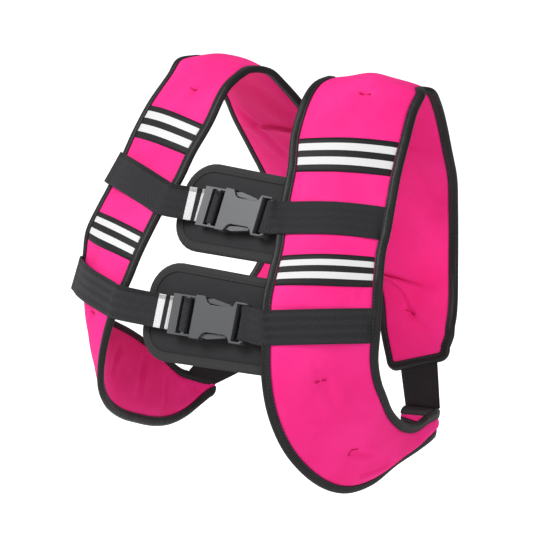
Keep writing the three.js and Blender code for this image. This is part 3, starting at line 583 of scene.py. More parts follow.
def webbing_material(name, light, dark, stripes=()):
    """Polyester webbing: yarns woven in a herringbone, matt with a faint shine on the yarns. Its rows are
    drawn 4.6 mm wide and its yarns 2.5 mm apart, coarser than the real ones, so that they show. The height is
    half a sine plus a half, of the way along plus a zigzag of the way across. stripes are the (start, end) of
    reflective marks along it, in metres."""
    material, tree, shader = surface(name, 0.62, 0.04)
    row_width = 0.0046
    yarn_pitch = 0.0025
    along, across = along_and_across(tree)
    zigzag = node(tree, "ShaderNodeMath", {0: across, 1: row_width}, 0, operation="PINGPONG")
    slanted = node(tree, "ShaderNodeMath", {0: along, 1: zigzag}, 0, operation="ADD")
    turns = node(tree, "ShaderNodeMath", {0: slanted, 1: 2 * math.pi / yarn_pitch}, 0, operation="MULTIPLY")
    wave = node(tree, "ShaderNodeMath", {0: turns}, 0, operation="SINE")
    raised = node(tree, "ShaderNodeMath", {0: wave, 1: 0.5, 2: 0.5}, 0, operation="MULTIPLY_ADD")
    # Colour follows the height: raised yarns get the light colour, a painted highlight, and the hollows get
    # the dark one, painted shade.
    mix = {"Factor": raised, "A": dark, "B": light}
    colour = node(tree, "ShaderNodeMix", mix, "Result", data_type="RGBA")
    for start, end in stripes:
        band = {0: along, 1: (start + end) / 2, 2: (end - start) / 2}
        inside = node(tree, "ShaderNodeMath", band, 0, operation="COMPARE")
        mix = {"Factor": inside, "A": colour, "B": srgb("#d9d9d9")}
        colour = node(tree, "ShaderNodeMix", mix, "Result", data_type="RGBA")
    relief = node(tree, "ShaderNodeBump", {"Height": raised, "Strength": 0.9, "Distance": 0.0006}, "Normal")
    tree.links.new(colour, shader.inputs["Base Color"])
    tree.links.new(relief, shader.inputs["Normal"])
    return material


def ribbed_material(name, light, dark, pitch):
    """Elastic tape: fine ribs along its length over rubber threads, pitch metres apart. The height is half a
    sine of the way across plus a half."""
    material, tree, shader = surface(name, 0.75, 0.05)
    along, across = along_and_across(tree)
    turns = node(tree, "ShaderNodeMath", {0: across, 1: 2 * math.pi / pitch}, 0, operation="MULTIPLY")
    wave = node(tree, "ShaderNodeMath", {0: turns}, 0, operation="SINE")
    raised = node(tree, "ShaderNodeMath", {0: wave, 1: 0.5, 2: 0.5}, 0, operation="MULTIPLY_ADD")
    # Colour follows the height: rib tops get the light colour, a painted highlight, and the valleys get the
    # dark one, painted shade.
    mix = {"Factor": raised, "A": dark, "B": light}
    colour = node(tree, "ShaderNodeMix", mix, "Result", data_type="RGBA")
    relief = node(tree, "ShaderNodeBump", {"Height": raised, "Strength": 0.5, "Distance": 0.0005}, "Normal")
    tree.links.new(colour, shader.inputs["Base Color"])
    tree.links.new(relief, shader.inputs["Normal"])
    return material


def tape_material(name, white, black, bands):
    """Reflective tape: glass-bead stripes, pale and slightly glossy, woven between dull black bands. bands
    are the two stripes' (start, end) in metres down the tape. Its weave is drawn 0.9 mm apart."""
    material, tree, shader = surface(name, 0.55)
    along, across = along_and_across(tree)
    lit = None
    for start, end in bands:
        band = {0: across, 1: (start + end) / 2, 2: (end - start) / 2}
        inside = node(tree, "ShaderNodeMath", band, 0, operation="COMPARE")
        if lit is not None:
            inside = node(tree, "ShaderNodeMath", {0: lit, 1: inside}, 0, operation="MAXIMUM")
        lit = inside
    mix = {"Factor": lit, "A": black, "B": white}
    colour = node(tree, "ShaderNodeMix", mix, "Result", data_type="RGBA")
    turns = node(tree, "ShaderNodeMath", {0: along, 1: 2 * math.pi / 0.0009}, 0, operation="MULTIPLY")
    weave = node(tree, "ShaderNodeMath", {0: turns}, 0, operation="SINE")
    relief = node(tree, "ShaderNodeBump", {"Height": weave, "Strength": 0.2, "Distance": 0.0002}, "Normal")
    tree.links.new(colour, shader.inputs["Base Color"])
    tree.links.new(relief, shader.inputs["Normal"])
    return material


def plastic_material(name, colour):
    """Moulded acetal: dark grey, satin from a lightly etched mould with a grain of about 0.5 mm."""
    material, tree, shader = surface(name, 0.38, gloss=0.5)
    shader.inputs["Base Color"].default_value = colour
    spot = node(tree, "ShaderNodeTexCoord", out="Object")
    grain = node(tree, "ShaderNodeTexNoise", {"Vector": spot, "Scale": 2200.0, "Detail": 2.0}, out="Fac")
    relief = node(tree, "ShaderNodeBump", {"Height": grain, "Strength": 0.12, "Distance": 0.0003}, "Normal")
    tree.links.new(relief, shader.inputs["Normal"])
    return material


# The vest's two halves
LEFT = Half(LEFT_WING_ROWS)
RIGHT = Half(RIGHT_WING_ROWS)
# Turns round an end's corner, in degrees
TURNS = [90, 82, 73, 63, 53, 43, 33, 22, 11]
# The closures: distance is down the front from the crest, centre the middle of the buckle, lean its tilt
# back from upright, turn its turn about the vertical, and slant how much higher the right webbing is at the
# armhole edge
CLOSURES = {
    "upper": {"distance": 158.0, "centre": 17.5, "lean": 27, "turn": -4, "pad_turn": -4, "slant": 13.0,
              "height": 96.0, "reach": 64.0},
    "lower": {"distance": 272.0, "centre": 26.0, "lean": 21, "turn": 4, "pad_turn": 0, "slant": 0.0,
              "height": 105.0, "reach": 61.0},
}
# The tapes: distance is down the front from the crest, and the stripes are in metres down the tape
TAPES = {
    "upper": {"distance": 86.0, "width": 38.0, "stripes": ((0.0063, 0.0147), (0.0222, 0.0306))},
    "lower": {"distance": 216.0, "width": 32.0, "stripes": ((0.0054, 0.0118), (0.0185, 0.0252))},
}
# Bar tacks that hold the filling, as (row place, share across, face)
TACKS = {
    "left": [(20.4, 0.52, 1), (10.78, 0.48, 1), (7.98, 0.44, 1), (33.13, 0.41, -1)],
    "right": [(17.69, 0.39, 1), (9.62, 0.36, 1)],
}
# Creases, as (row place, share) at both ends, width and depth in mm, and the face they are on
CREASES = {
    "left": [
        (6.9, 0.2, 6.0, 0.42, 3.4, 5.0, 1),
        (5.9, 0.1, 5.2, 0.36, 3.2, 4.6, 1),
        (33.1, 0.41, 30.9, 0.3, 4, 2.2, -1),
        (33.1, 0.41, 33.9, 0.75, 5, 1.8, -1),
        (20.4, 0.52, 21.2, 0.66, 3, 1.2, 1),
        (10.8, 0.48, 11.6, 0.4, 3, 1.0, 1),
        (14.4, 0.86, 13.2, 0.9, 4, 1.6, 1),
        (16.8, 0.12, 17.9, 0.1, 3.5, 1.4, 1),
        (26.6, 0.75, 28.6, 0.82, 6, 1.5, -1),
        (8.0, 0.44, 7.2, 0.56, 4.0, 3.0, 1),
        (10.78, 0.52, 9.6, 0.58, 7.0, 2.2, 1),
        (3.4, 0.3, 3.0, 0.7, 4, 1.5, 1),
        (1.9, 0.3, 1.6, 0.7, 3.5, 1.3, 1),
    ],
    "right": [
        (23.0, 0.98, 25.3, 0.5, 6, 3.6, -1),
        (17.7, 0.39, 18.5, 0.5, 3, 1.2, 1),
        (15.6, 0.15, 16.7, 0.12, 3.5, 1.5, 1),
        (10.6, 0.14, 12.2, 0.12, 4, 1.6, 1),
        (5.3, 0.2, 5.0, 0.8, 5, 2.0, -1),
        (3.6, 0.2, 3.3, 0.8, 5, 1.8, -1),
        (7.2, 0.3, 6.9, 0.8, 5, 1.6, -1),
        (9.62, 0.36, 8.8, 0.45, 3.5, 1.2, 1),
        (2.2, 0.25, 1.9, 0.75, 4, 1.5, -1),
    ],
}


def half_stations(half):
    """Every station of a half from the rounded wing end to the rounded leg end."""
    tip = half.rounded_end(0, None, -1, TURNS)
    corners = [half.neck_corner, half.arch_corner]
    t = np.unique(np.round(np.concatenate([np.linspace(0, half.last, 330), corners]), 5))
    leg = half.rounded_end(half.last, BACK_CORNER, 1, TURNS[::-1])
    return tip, half.stations(t), leg


def dented(half, stations, tacks, creases, closure_groove):
    """offset(share, side) for a half: soft folds from sums of slow sines in the distance along and across, a
    groove under each tape and webbing, a bell-shaped dent with five puckers for each bar tack, and a
    bell-shaped valley round the line between the two ends of each crease."""
    t = stations["t"][:, None]
    middle = (stations["neck"] + stations["arm"]) / 2
    steps = np.linalg.norm(np.diff(middle, axis=0), axis=1)
    s = np.concatenate([[0], np.cumsum(steps)])[:, None]
    down = np.interp(t, half.front_places, half.front_distance, right=-100)
    width = strip_width(stations)
    filled = np.clip(stations["fill"] * 1.6, 0, 1)

    def row_distance(row):
        """Distance along the middle to a row place."""
        return np.interp(row, t[9:-9, 0], s[9:-9, 0])

    def offset(share, side):
        v = share[None, :] * width
        soft = np.sin(s / 21 + 1.7 * np.sin(s / 63) + v / 34) * 0.55
        soft = soft + np.sin(s / 9.5 + 2.2 * np.sin(v / 27) + 0.8) * 0.28 + np.sin(v / 8.5 + s / 17) * 0.22
        soft = soft + ramp(-down, -60, 60) * np.sin(s / 12.5 + v / 15) * 0.5
        soft = soft * (1.7 if side > 0 else 1.6)
        for row, across, face in tacks:
            if face == side:
                du = s - row_distance(row)
                dv = v - across * np.interp(row, t[:, 0], width[:, 0])
                far = np.hypot(du, dv)
                pucker = 1 + 0.3 * np.cos(5 * np.arctan2(du, dv) + row)
                soft = soft - 3.4 * np.exp(-((far / 14) ** 2)) * pucker
                soft = soft - 2.4 * np.exp(-(du / 3) ** 2 - (dv / 8) ** 2)
        for row, across, end_row, end_across, wide, depth, face in creases:
            if face == side:
                start = np.array([row_distance(row), across * np.interp(row, t[:, 0], width[:, 0])])
                end = np.array([row_distance(end_row), end_across * np.interp(end_row, t[:, 0], width[:, 0])])
                span = end - start
                along_line = ((s - start[0]) * span[0] + (v - start[1]) * span[1]) / (span @ span)
                clear = np.clip(along_line, 0, 1)
                far = np.hypot(s - start[0] - clear * span[0], v - start[1] - clear * span[1])
                fade = np.exp(-((clear - 0.45) / 0.55) ** 4)
                valley = np.exp(-(far / wide) ** 2) - 0.35 * np.exp(-(far / wide - 2) ** 2)
                soft = soft - depth * fade * valley
        if side < 0:
            return soft * filled
        for start, wide, depth in closure_groove:
            inside = ramp(down, start - 4, start + 2) * (1 - ramp(down, start + wide - 2, start + wide + 4))
            soft = soft * (1 - inside) - depth * inside
        return soft * filled

    return offset


def closure_frame(facts, turn):
    """Axes of a buckle from its male frame: x to the left strap, y up and leaned back, z outward."""
    left = LEFT.stations([LEFT.place_at(facts["distance"] + WEBBING_WIDTH / 2)])
    right = RIGHT.stations([RIGHT.place_at(facts["distance"] + WEBBING_WIDTH / 2)])
    lean, turn = math.radians(-facts["lean"]), math.radians(turn)
    tilt = Matrix.Rotation(turn, 3, "Z") @ Matrix.Rotation(lean, 3, "X")
    x, y, z = (np.array(tilt @ Vector(v)) for v in ((1, 0, 0), (0, 0, 1), (0, -1, 0)))
    level = (left["neck"][0] + right["neck"][0]) / 2
    level[0] = facts["centre"]
    return {"left": left, "x": x, "y": y, "z": z, "origin": level + z * SEWN_EDGE - x * BUCKLE_LENGTH / 2}


def in_frame(axes, x, y, z):
    """A point in a buckle's own axes."""
    return axes["origin"] + axes["x"] * x + axes["y"] * y + axes["z"] * z


def buckle_path(axes, path):
    """Webbing stations from (x, z) places in a buckle."""
    return [(in_frame(axes, x, 0, z), axes["y"], WEBBING_WIDTH - 1.2) for x, z in path]


def left_webbing(facts):
    """From under the armhole binding, over the padding and the neck binding, and round the loop bar."""
    axes = closure_frame(facts, facts["turn"])
    one = axes["left"]
    width = float(strip_width(one)[0, 0])
    spots = [(width - 3, 2.1), (width - 8.6, 2.5)]
    for distance in [width - 14] + [share * width for share in (0.8, 0.65, 0.5, 0.35, 0.2)]:
        spots.append((distance, float(face_height(one, distance, 1, WEB_LIFT)[0, 0])))
    spots += [(BINDING_WIDTH + 1, OVER_BINDING + 0.4), (0, OVER_BINDING + 0.2)]
    path = [(section_point(one, d, h)[0], one["forward"][0], WEBBING_WIDTH) for d, h in spots]
    edge = unit(LEFT.arm_at(one["t"] + 0.2) - LEFT.arm_at(one["t"] - 0.2))[0]
    edge = edge * np.sign(edge @ one["forward"][0])
    path[:2] = [(middle, edge, wide) for middle, forward, wide in path[:2]]
    return path + buckle_path(axes, [(94.5, 3.65), (88.6, 3.65), (86.55, 2.6), (86.55, -2.6), (88.6, -3.65),
                                       (95, -3.65)])


def right_webbing(facts):
    """Turned in behind the armhole edge, proud over the padding, under the ladder bar, over the hold bar and
    back underneath."""
    axes = closure_frame(facts, facts["turn"])
    middle = facts["distance"] + WEBBING_WIDTH / 2
    width = float(strip_width(RIGHT.stations([RIGHT.place_at(middle)]))[0, 0])
    path = []

    def add(distance, height=None, side=1, rise=0.0):
        slanted = middle - facts["slant"] * min(max(distance, 0), width) / width
        one = RIGHT.stations([RIGHT.place_at(slanted)])
        if height is None:
            height = float(face_height(one, distance, side, WEB_LIFT + rise)[0, 0])
        centre = flipped(section_point(one, distance, height)[0])
        path.append((centre, flipped(one["forward"][0]), WEBBING_WIDTH))

    for distance in (width - 34, width - 21):
        add(distance, side=-1)
    edge = [(width - BINDING_WIDTH - 1, -OVER_BINDING - 0.4), (width, -OVER_BINDING), (width + 3.25, -2.4),
            (width + 3.85, 2.4), (width + 0.5, OVER_BINDING + 2.5)]
    for distance, height in edge:
        add(distance, height)
    for share, rise in ((0.86, 1), (0.7, 1), (0.5, 0.7), (0.3, 0.4)):
        add(share * width, rise=rise * WEBBING_RISE)
    add(BINDING_WIDTH + 3, OVER_BINDING + 1.8)
    add(0, OVER_BINDING + 0.2)
    ladder = [(-7, -2.55), (-2, -3.45), (3, -3.55), (10.2, -3.55), (12.6, -1.7), (14.1, 1.7), (16.1, 3.5),
              (18.5, 3.75), (20.9, 3.5), (22.1, 2.2), (22.1, -2), (20.9, -3.6), (18, -4), (13.5, -5),
              (9, -5.6), (-5, -5.9), (-16, -5.9)]
    return path + buckle_path(axes, ladder)


def pad_stations(facts):
    """A strip from the pad's free, rounded end to its sewn end behind the left strap."""
    axes = closure_frame(facts, facts["pad_turn"])
    height = facts["height"]
    behind = -(WEBBING_BEHIND_FRAME + PAD_BACKING / 2 + SEAM_GAP)
    free = in_frame(axes, BUCKLE_LENGTH / 2 - facts["centre"] - facts["reach"], 0, behind)
    t0 = float(axes["left"]["t"][0])
    places = np.arange(0, LEFT.neck_corner, 0.02)
    run = np.linalg.norm(np.diff(LEFT.neck_at(places), axis=0), axis=1)
    walked = np.concatenate([[0], np.cumsum(run)])
    here = np.interp(t0, places, walked)
    sewn = []
    for side in (1, -1):
        t = np.interp(here - side * height / 2, walked, places)
        sewn.append(section_point(LEFT.stations([t]), PAD_TUCK, -(2 * BINDING_RISE + PAD_DEPTH))[0])
    low, high = free - axes["y"] * height / 2, free + axes["y"] * height / 2
    run = (sewn[0] + sewn[1]) / 2 - free
    share = np.linspace(PAD_CORNER / np.linalg.norm(run), 1, 30)[:, None]
    neck, arm = blend(low, sewn[0], share), blend(high, sewn[1], share)
    across = unit(arm - neck)
    forward = unit(run - across * dot(across, run + 0 * across))
    normal = np.cross(across, forward)
    found = {"t": share[:, 0], "neck": neck, "arm": arm, "fill": np.ones_like(share)}
    found.update(across=across, normal=normal, forward=forward)
    found["low"] = edge_frame(found, -1, unit(sewn[0] - low) + 0 * neck)
    found["high"] = edge_frame(found, 1, unit(sewn[1] - high) + 0 * neck)
    found["margins"] = [found[k]["point"] - found[k]["out"] * FLANGE for k in ("low", "high")]
    first = picked(found, slice(0, 1))
    turns = np.radians(TURNS)[:, None]
    half = strip_width(first) / 2 - PAD_CORNER * (1 - np.cos(turns))
    middle = (first["neck"] + first["arm"]) / 2 - first["forward"] * PAD_CORNER * np.sin(turns)
    end = {"t": 0 * turns[:, 0], "fill": 0 * turns}
    end["neck"] = middle - first["across"] * half
    end["arm"] = middle + first["across"] * half
    for key in ("across", "normal", "forward"):
        end[key] = first[key] + 0 * middle
    for key, side in (("low", -1), ("high", 1)):
        out = first["across"] * side * np.cos(turns) - first["forward"] * np.sin(turns)
        end[key] = {"point": end["neck"] if side < 0 else end["arm"], "out": out, "normal": end["normal"]}
    end["margins"] = [end["neck"] + end["across"] * FLANGE, end["arm"] - end["across"] * FLANGE]
    end["fill"] = 1 - np.sin(turns) ** 2
    return joined(end, found)


def finished(obj, material, slot_name, *replaced):
    """Gives a piece its material and its place on the vest's one body."""
    obj.data.materials.clear()
    obj.data.materials.append(material)
    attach(obj, "root")
    if replaced:
        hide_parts(*replaced)
    return obj


class VestSizes(bpy.types.PropertyGroup):
    """Sizes and lights of the dressed vest"""
    stitch_pitch: bpy.props.FloatProperty(
        name="Stitch pitch",
        description="Distance between two stitches",
        default=0.0036,
        min=0.001,
        unit="LENGTH",
    )
    bevel: bpy.props.FloatProperty(
        name="Buckle edge",
        description="Rounding of the moulded edges",
        default=0.0008,
        min=0.0001,
        unit="LENGTH",
    )
    key_power: bpy.props.FloatProperty(
        name="Key light",
        description="Power of the softbox at the upper left, in watts",
        default=92.0,
        min=0.0,
    )
    fill_power: bpy.props.FloatProperty(
        name="Fill light",
        description="Power of the softbox at the right, in watts",
        default=22.0,
        min=0.0,
    )
    sky: bpy.props.FloatProperty(
        name="Sky",
        description="Brightness of the white surroundings",
        default=0.46,
        min=0.0,
    )


class VestColours(bpy.types.PropertyGroup):
    """Colours as sRGB hex values"""
    pink: bpy.props.StringProperty(
        name="Neoprene",
        description="Colour of the padded halves",
        default="#f53290",
    )
    # Colour of the darker patches: painted shade mixed with the jersey's own uneven tone.
    pink_painted_shade: bpy.props.StringProperty(
        name="Neoprene painted shade",
        description="Colour of its darker patches",
        default="#e00a6c",
    )
    charcoal: bpy.props.StringProperty(
        name="Binding",
        description="Colour of the bindings",
        default="#0c0c0d",
    )
    # The webbing's hollows: painted shade.
    black: bpy.props.StringProperty(
        name="Webbing",
        description="Colour of the hollows in the webbing",
        default="#070708",
    )
    plastic: bpy.props.StringProperty(
        name="Plastic",
        description="Colour of the buckles",
        default="#404143",
    )


def made_before(name):
    """A material from an earlier step. Stops if that step has not run."""
    material = bpy.data.materials.get(name)
    if material is None:
        raise RuntimeError("Build the bindings first: there is no material named " + name)
    return material


def sizes():
    """The scene's sizes and lights."""
    return bpy.context.scene.vest_sizes


def colours():
    """The scene's colours."""
    return bpy.context.scene.vest_colours


class VEST_OT_halves(bpy.types.Operator):
    """Builds the two padded neoprene halves"""
    bl_idname = "vest.halves"
    bl_label = "Padded halves"

    def execute(self, context):
        # Light pink and dark pink mixed in random patches: painted highlight and painted shade, besides the
        # jersey's own uneven tone.
        pink = knit_material("pink_neoprene", srgb(colours().pink), srgb(colours().pink_painted_shade), 0.72, 0.35)
        thread = knit_material("pink_thread", srgb("#c4085f"), srgb("#b20655"), 0.6, 0.05)
        under_tapes = [(facts["distance"], facts["width"], 0.5) for facts in TAPES.values()]
        under_webbing = [(facts["distance"], WEBBING_WIDTH, 0.9) for facts in CLOSURES.values()]
        for side, half in (("left", LEFT), ("right", RIGHT)):
            stations = joined(*half_stations(half))
            pressed = under_tapes + (under_webbing if side == "left" else [])
            offset = dented(half, stations, TACKS[side], CREASES[side], pressed)
            rings = sewn_rings(stations, offset, PAD_THICKNESS, PAD_BOW, 45)
            rings[..., 0] = np.maximum(rings[..., 0], SEAM_GAP / 2)
            if side == "right":
                rings = flipped(rings)
            obj = solid_mesh(side + "_half_shell", rings)
            finished(obj, pink, "pink_neoprene", side + "_padded_half")
            for i, (row, across, face) in enumerate(TACKS[side]):
                one = half.stations([row])
                spread = across + np.linspace(-6, 6, 12) / (float(strip_width(one)[0, 0]) - 2 * FLANGE)
                nearest = np.abs(stations["t"] - row).argmin()
                depth = offset(spread, face)[nearest] * np.sin(np.pi * spread) ** 0.5
                arc = pad_point(one, spread[:, None], face) + face * one["normal"] * (depth[:, None] + 0.6)
                bar = strap_rings(arc, one["forward"] + 0 * arc, np.full(12, 1.9), 1.2)
                bar = flipped(bar) if side == "right" else bar
                finished(solid_mesh("%s_bar_tack_%d" % (side, i + 1), bar), thread, "pink_neoprene")
        return {"FINISHED"}


class VEST_OT_bindings(bpy.types.Operator):
    """Builds the bindings round the vest's edges, with their stitches"""
    bl_idname = "vest.bindings"
    bl_label = "Bindings"

    def execute(self, context):
        light = srgb("#101011")
        cloth = knit_material("black_binding", light, srgb(colours().charcoal), 0.5, 0.04, 0.0009, 0.3)
        thread = knit_material("black_thread", srgb("#4c4c4f"), srgb("#3c3c3f"), 0.55, 0.05)
        necks, armholes = [], {}
        for side, half in (("left", LEFT), ("right", RIGHT)):
            tip, body, leg = half_stations(half)
            t = body["t"]
            up = joined(tip["low"], picked(body["low"], t <= half.neck_corner))
            arch = joined(picked(body["low"], t >= half.arch_corner), leg["low"])
            back = joined(tip["high"], body["high"], leg["high"])
            whole = joined(arch, picked(back, slice(None, None, -1)))
            if side == "right":
                up, whole = ({k: flipped(v) for k, v in path.items()} for path in (up, whole))
            necks.append(up)
            armholes[side] = whole
        necks[0]["point"][-1, 0] = 0
        right = picked(necks[1], slice(-2, None, -1))
        paths = {"neck_binding": joined(necks[0], right)}
        for side in armholes:
            paths[side + "_armhole_binding"] = armholes[side]
        for name, frames in paths.items():
            obj = solid_mesh(name + "_tape", binding_rings(frames))
            finished(obj, cloth, "black_binding", name)
            beads = stitch_beads(name + "_stitches", frames, sizes().stitch_pitch / MM)
            finished(beads, thread, "black_binding")
        return {"FINISHED"}


class VEST_OT_tapes(bpy.types.Operator):
    """Builds the reflective tapes across both front straps"""
    bl_idname = "vest.tapes"
    bl_label = "Reflective tapes"

    def execute(self, context):
        for level, facts in TAPES.items():
            distance = facts["distance"]
            cloth = tape_material(level + "_tape", srgb("#cfcfcf"), srgb("#161618"), facts["stripes"])
            for side, half in (("left", LEFT), ("right", RIGHT)):
                spots = distance + np.linspace(0, facts["width"], 13)
                rows = half.stations(half.place_at(spots))
                share = (1 - np.cos(np.linspace(0, np.pi, 31))) / 2
                faces = [np.stack([pad_point(rows, k, 1, lift) for k in share]) for lift in (-0.4, 0.35)]
                rings = np.concatenate([faces[0], faces[1][:, ::-1]], axis=1)
                v = np.concatenate([spots - distance, (spots - distance)[::-1]])
                if side == "right":
                    rings = flipped(rings)
                name = "%s_%s_reflective_tape" % (side, level)
                finished(solid_mesh(name + "_cloth", rings, v), cloth, "reflective_tape", name)
        return {"FINISHED"}


class VEST_OT_webbing(bpy.types.Operator):
    """Builds the webbing of both closures"""
    bl_idname = "vest.webbing"
    bl_label = "Webbing"

    def execute(self, context):
        # Colour of the webbing's raised yarns, a painted highlight. Its hollows get the black, painted shade.
        light = srgb("#323236")
        black = srgb(colours().black)
        plain = webbing_material("black_webbing", light, black)
        for level, facts in CLOSURES.items():
            for side, path in (("left", left_webbing(facts)), ("right", right_webbing(facts))):
                middle, across, width = drawn_out(path)
                rings = strap_rings(middle, across, width, 1.5)
                cloth = plain
                if side == "right":
                    run = np.concatenate([[0], np.cumsum(np.linalg.norm(np.diff(middle, axis=0), axis=1))])
                    bar = (run[14 * 8] + 2) * MM
                    marks = [(bar - 0.0205, bar - 0.012), (bar - 0.0065, bar + 0.001)]
                    cloth = webbing_material(level + "_marked_webbing", light, black, marks)
                name = "%s_%s_webbing" % (side, level)
                finished(solid_mesh(name + "_strap", rings), cloth, "black_webbing", name)
        return {"FINISHED"}


class VEST_OT_buckles(bpy.types.Operator):
    """Rounds the moulded edges of the buckles"""
    bl_idname = "vest.buckles"
    bl_label = "Buckles"

    def execute(self, context):
        plastic = plastic_material("grey_plastic", srgb(colours().plastic))
        for level in CLOSURES:
            for part in ("female", "male"):
                name = "%s_%s_buckle" % (level, part)
                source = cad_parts[name]
                mesh = source.data.copy()
                work = bmesh.new()
                work.from_mesh(mesh)
                bmesh.ops.remove_doubles(work, verts=work.verts, dist=0.00005)
                flat = math.radians(1)
                bmesh.ops.dissolve_limit(work, angle_limit=flat, verts=work.verts, edges=work.edges)
                work.to_mesh(mesh)
                work.free()
                mesh.polygons.foreach_set("use_smooth", np.ones(len(mesh.polygons), dtype=bool))
                obj = bpy.data.objects.new(name + "_moulding", mesh)
                obj.matrix_world = source.matrix_world
                bpy.context.scene.collection.objects.link(obj)
                edge = obj.modifiers.new("edges", "BEVEL")
                edge.width = sizes().bevel
                edge.segments = 3
                edge.limit_method = "ANGLE"
                edge.angle_limit = math.radians(30)
                evened = obj.modifiers.new("flats", "WEIGHTED_NORMAL")
                evened.weight = 100
                evened.keep_sharp = True
                finished(obj, plastic, "grey_plastic", name)
        return {"FINISHED"}


class VEST_OT_pads(bpy.types.Operator):
    """Builds the black pads behind the buckles, with their bindings"""
    bl_idname = "vest.pads"
    bl_label = "Buckle pads"

    def execute(self, context):
        foam = knit_material("black_neoprene", srgb("#29292b"), srgb("#1f1f21"), 0.7, 0.06)
        cloth = made_before("black_binding")
        thread = made_before("black_thread")
        for level, facts in CLOSURES.items():
            stations = pad_stations(facts)
            rings = sewn_rings(stations, lambda share, side: 0 * share[None, :], 8.0, 0.0, 25)
            obj = solid_mesh(level + "_pad_shell", rings)
            finished(obj, foam, "black_neoprene", level + "_buckle_pad")
            frames = joined(picked(stations["low"], slice(None, None, -1)), stations["high"])
            name = level + "_pad_binding"
            finished(solid_mesh(name + "_tape", binding_rings(frames)), cloth, "black_binding", name)
            beads = stitch_beads(name + "_stitches", frames, sizes().stitch_pitch / MM)
            finished(beads, thread, "black_binding")
        return {"FINISHED"}


class VEST_OT_elastics(bpy.types.Operator):
    """Builds the elastic side straps"""
    bl_idname = "vest.elastics"
    bl_label = "Side elastics"

    def execute(self, context):
        # Light colour on the rib tops, a painted highlight. Dark colour in the valleys, painted shade.
        cloth = ribbed_material("black_elastic", srgb("#1f1f21"), srgb("#0f0f11"), 0.0016)
        for side, half, spot, wide in (("left", LEFT, 1.0, 50.0), ("right", RIGHT, 0.6, 36.0)):
            leg = half.rounded_end(half.last, BACK_CORNER, 1, [90])
            top = ((leg["neck"] + leg["arm"]) / 2 + leg["forward"] * -5.0)[0]
            wing = half.stations([spot])
            ahead = unit(half.arm_at([spot + 0.4]) - half.arm_at([max(0, spot - 0.4)]))
            out = unit(wing["across"] - ahead * dot(wing["across"], ahead))
            end = (wing["arm"] - out * 6.0)[0]
            share = np.linspace(0, 1, 40)[:, None]
            across = unit(blend(leg["across"], ahead, share))
            rings = strap_rings(blend(top, end, share), across, blend(50.0, wide, share[:, 0]), 1.6)
            if side == "right":
                rings = flipped(rings)
            name = side + "_side_elastic"
            finished(solid_mesh(name + "_strap", rings), cloth, "black_elastic", name)
        return {"FINISHED"}


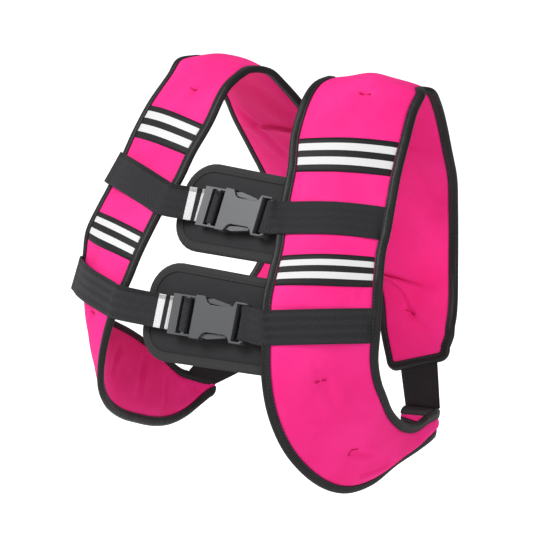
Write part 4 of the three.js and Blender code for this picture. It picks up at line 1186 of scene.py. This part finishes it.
class VEST_OT_stage(bpy.types.Operator):
    """Adds the floor, the lights and the camera"""
    bl_idname = "vest.stage"
    bl_label = "Stage"

    def execute(self, context):
        scene = context.scene
        scene.view_settings.view_transform = "Standard"
        floor = mesh_object("floor", np.array([[-9000, -9000, -620], [9000, -9000, -620], [9000, 9000, -620],
                                               [-9000, 9000, -620.0]]), np.array([[0, 1, 2, 3]]))
        material, tree, shader = surface("pale_floor", 0.9)
        shader.inputs["Base Color"].default_value = srgb("#fbfbfb")
        shader.inputs["Emission Color"].default_value = (1, 1, 1, 1)
        seen_ray = node(tree, "ShaderNodeLightPath", out="Is Camera Ray")
        glow = node(tree, "ShaderNodeMath", {0: seen_ray, 1: 0.6}, 0, operation="MULTIPLY")
        tree.links.new(glow, shader.inputs["Emission Strength"])
        floor.data.materials.append(material)
        world = bpy.data.worlds.new("studio")
        world.use_nodes = True
        world.node_tree.nodes["Background"].inputs["Color"].default_value = (1, 1, 1, 1)
        tree = world.node_tree
        seen_ray = node(tree, "ShaderNodeLightPath", out="Is Camera Ray")
        power = node(tree, "ShaderNodeMath", {0: seen_ray, 1: sizes().sky}, 0, operation="MAXIMUM")
        tree.links.new(power, tree.nodes["Background"].inputs["Strength"])
        scene.world = world
        aim = Vector((0, 0, -0.2))
        for name, spot, size, power in (("key", (-1.3, -1.9, 2.0), 1.6, sizes().key_power),
                                        ("fill", (2.2, -1.2, 0.6), 1.6, sizes().fill_power)):
            light = bpy.data.lights.new(name, "AREA")
            light.size = size
            light.energy = power
            lamp = bpy.data.objects.new(name, light)
            lamp.location = spot
            lamp.rotation_euler = (aim - Vector(spot)).to_track_quat("-Z", "Y").to_euler()
            scene.collection.objects.link(lamp)
        turn, rise = math.radians(35), math.radians(14)
        level = math.cos(rise)
        way = Vector((math.sin(turn) * level, -math.cos(turn) * level, math.sin(rise)))
        spot = aim + 5.0 * way
        camera = bpy.data.cameras.new("camera")
        camera.sensor_width = 36
        camera.lens = 312.4
        camera.shift_x = -0.0403
        camera.shift_y = -0.0047
        camera.dof.use_dof = False
        seen = bpy.data.objects.new("camera", camera)
        seen.location = spot
        seen.rotation_euler = (aim - spot).to_track_quat("-Z", "Y").to_euler()
        scene.collection.objects.link(seen)
        scene.camera = seen
        return {"FINISHED"}


class VEST_PT_panel(bpy.types.Panel):
    """Lists the steps in the sidebar"""
    bl_label = "Weighted Vest"
    bl_idname = "VEST_PT_panel"
    bl_space_type = "VIEW_3D"
    bl_region_type = "UI"
    bl_category = "Vest"

    def draw(self, context):
        for operator in STEPS:
            self.layout.operator(operator.bl_idname)
        for group in (context.scene.vest_sizes, context.scene.vest_colours):
            for key in group.__annotations__:
                self.layout.prop(group, key)


STEPS = [VEST_OT_halves, VEST_OT_bindings, VEST_OT_tapes, VEST_OT_webbing, VEST_OT_buckles, VEST_OT_pads,
         VEST_OT_elastics, VEST_OT_stage]
CLASSES = [VestSizes, VestColours, *STEPS, VEST_PT_panel]


def register():
    for item in CLASSES:
        bpy.utils.register_class(item)
    bpy.types.Scene.vest_sizes = bpy.props.PointerProperty(type=VestSizes)
    bpy.types.Scene.vest_colours = bpy.props.PointerProperty(type=VestColours)


def unregister():
    del bpy.types.Scene.vest_sizes
    del bpy.types.Scene.vest_colours
    for item in reversed(CLASSES):
        bpy.utils.unregister_class(item)


def main():
    register()
    bpy.ops.vest.halves()
    bpy.ops.vest.bindings()
    bpy.ops.vest.tapes()
    bpy.ops.vest.webbing()
    bpy.ops.vest.buckles()
    bpy.ops.vest.pads()
    bpy.ops.vest.elastics()
    bpy.ops.vest.stage()


if __name__ == "__main__":
    main()
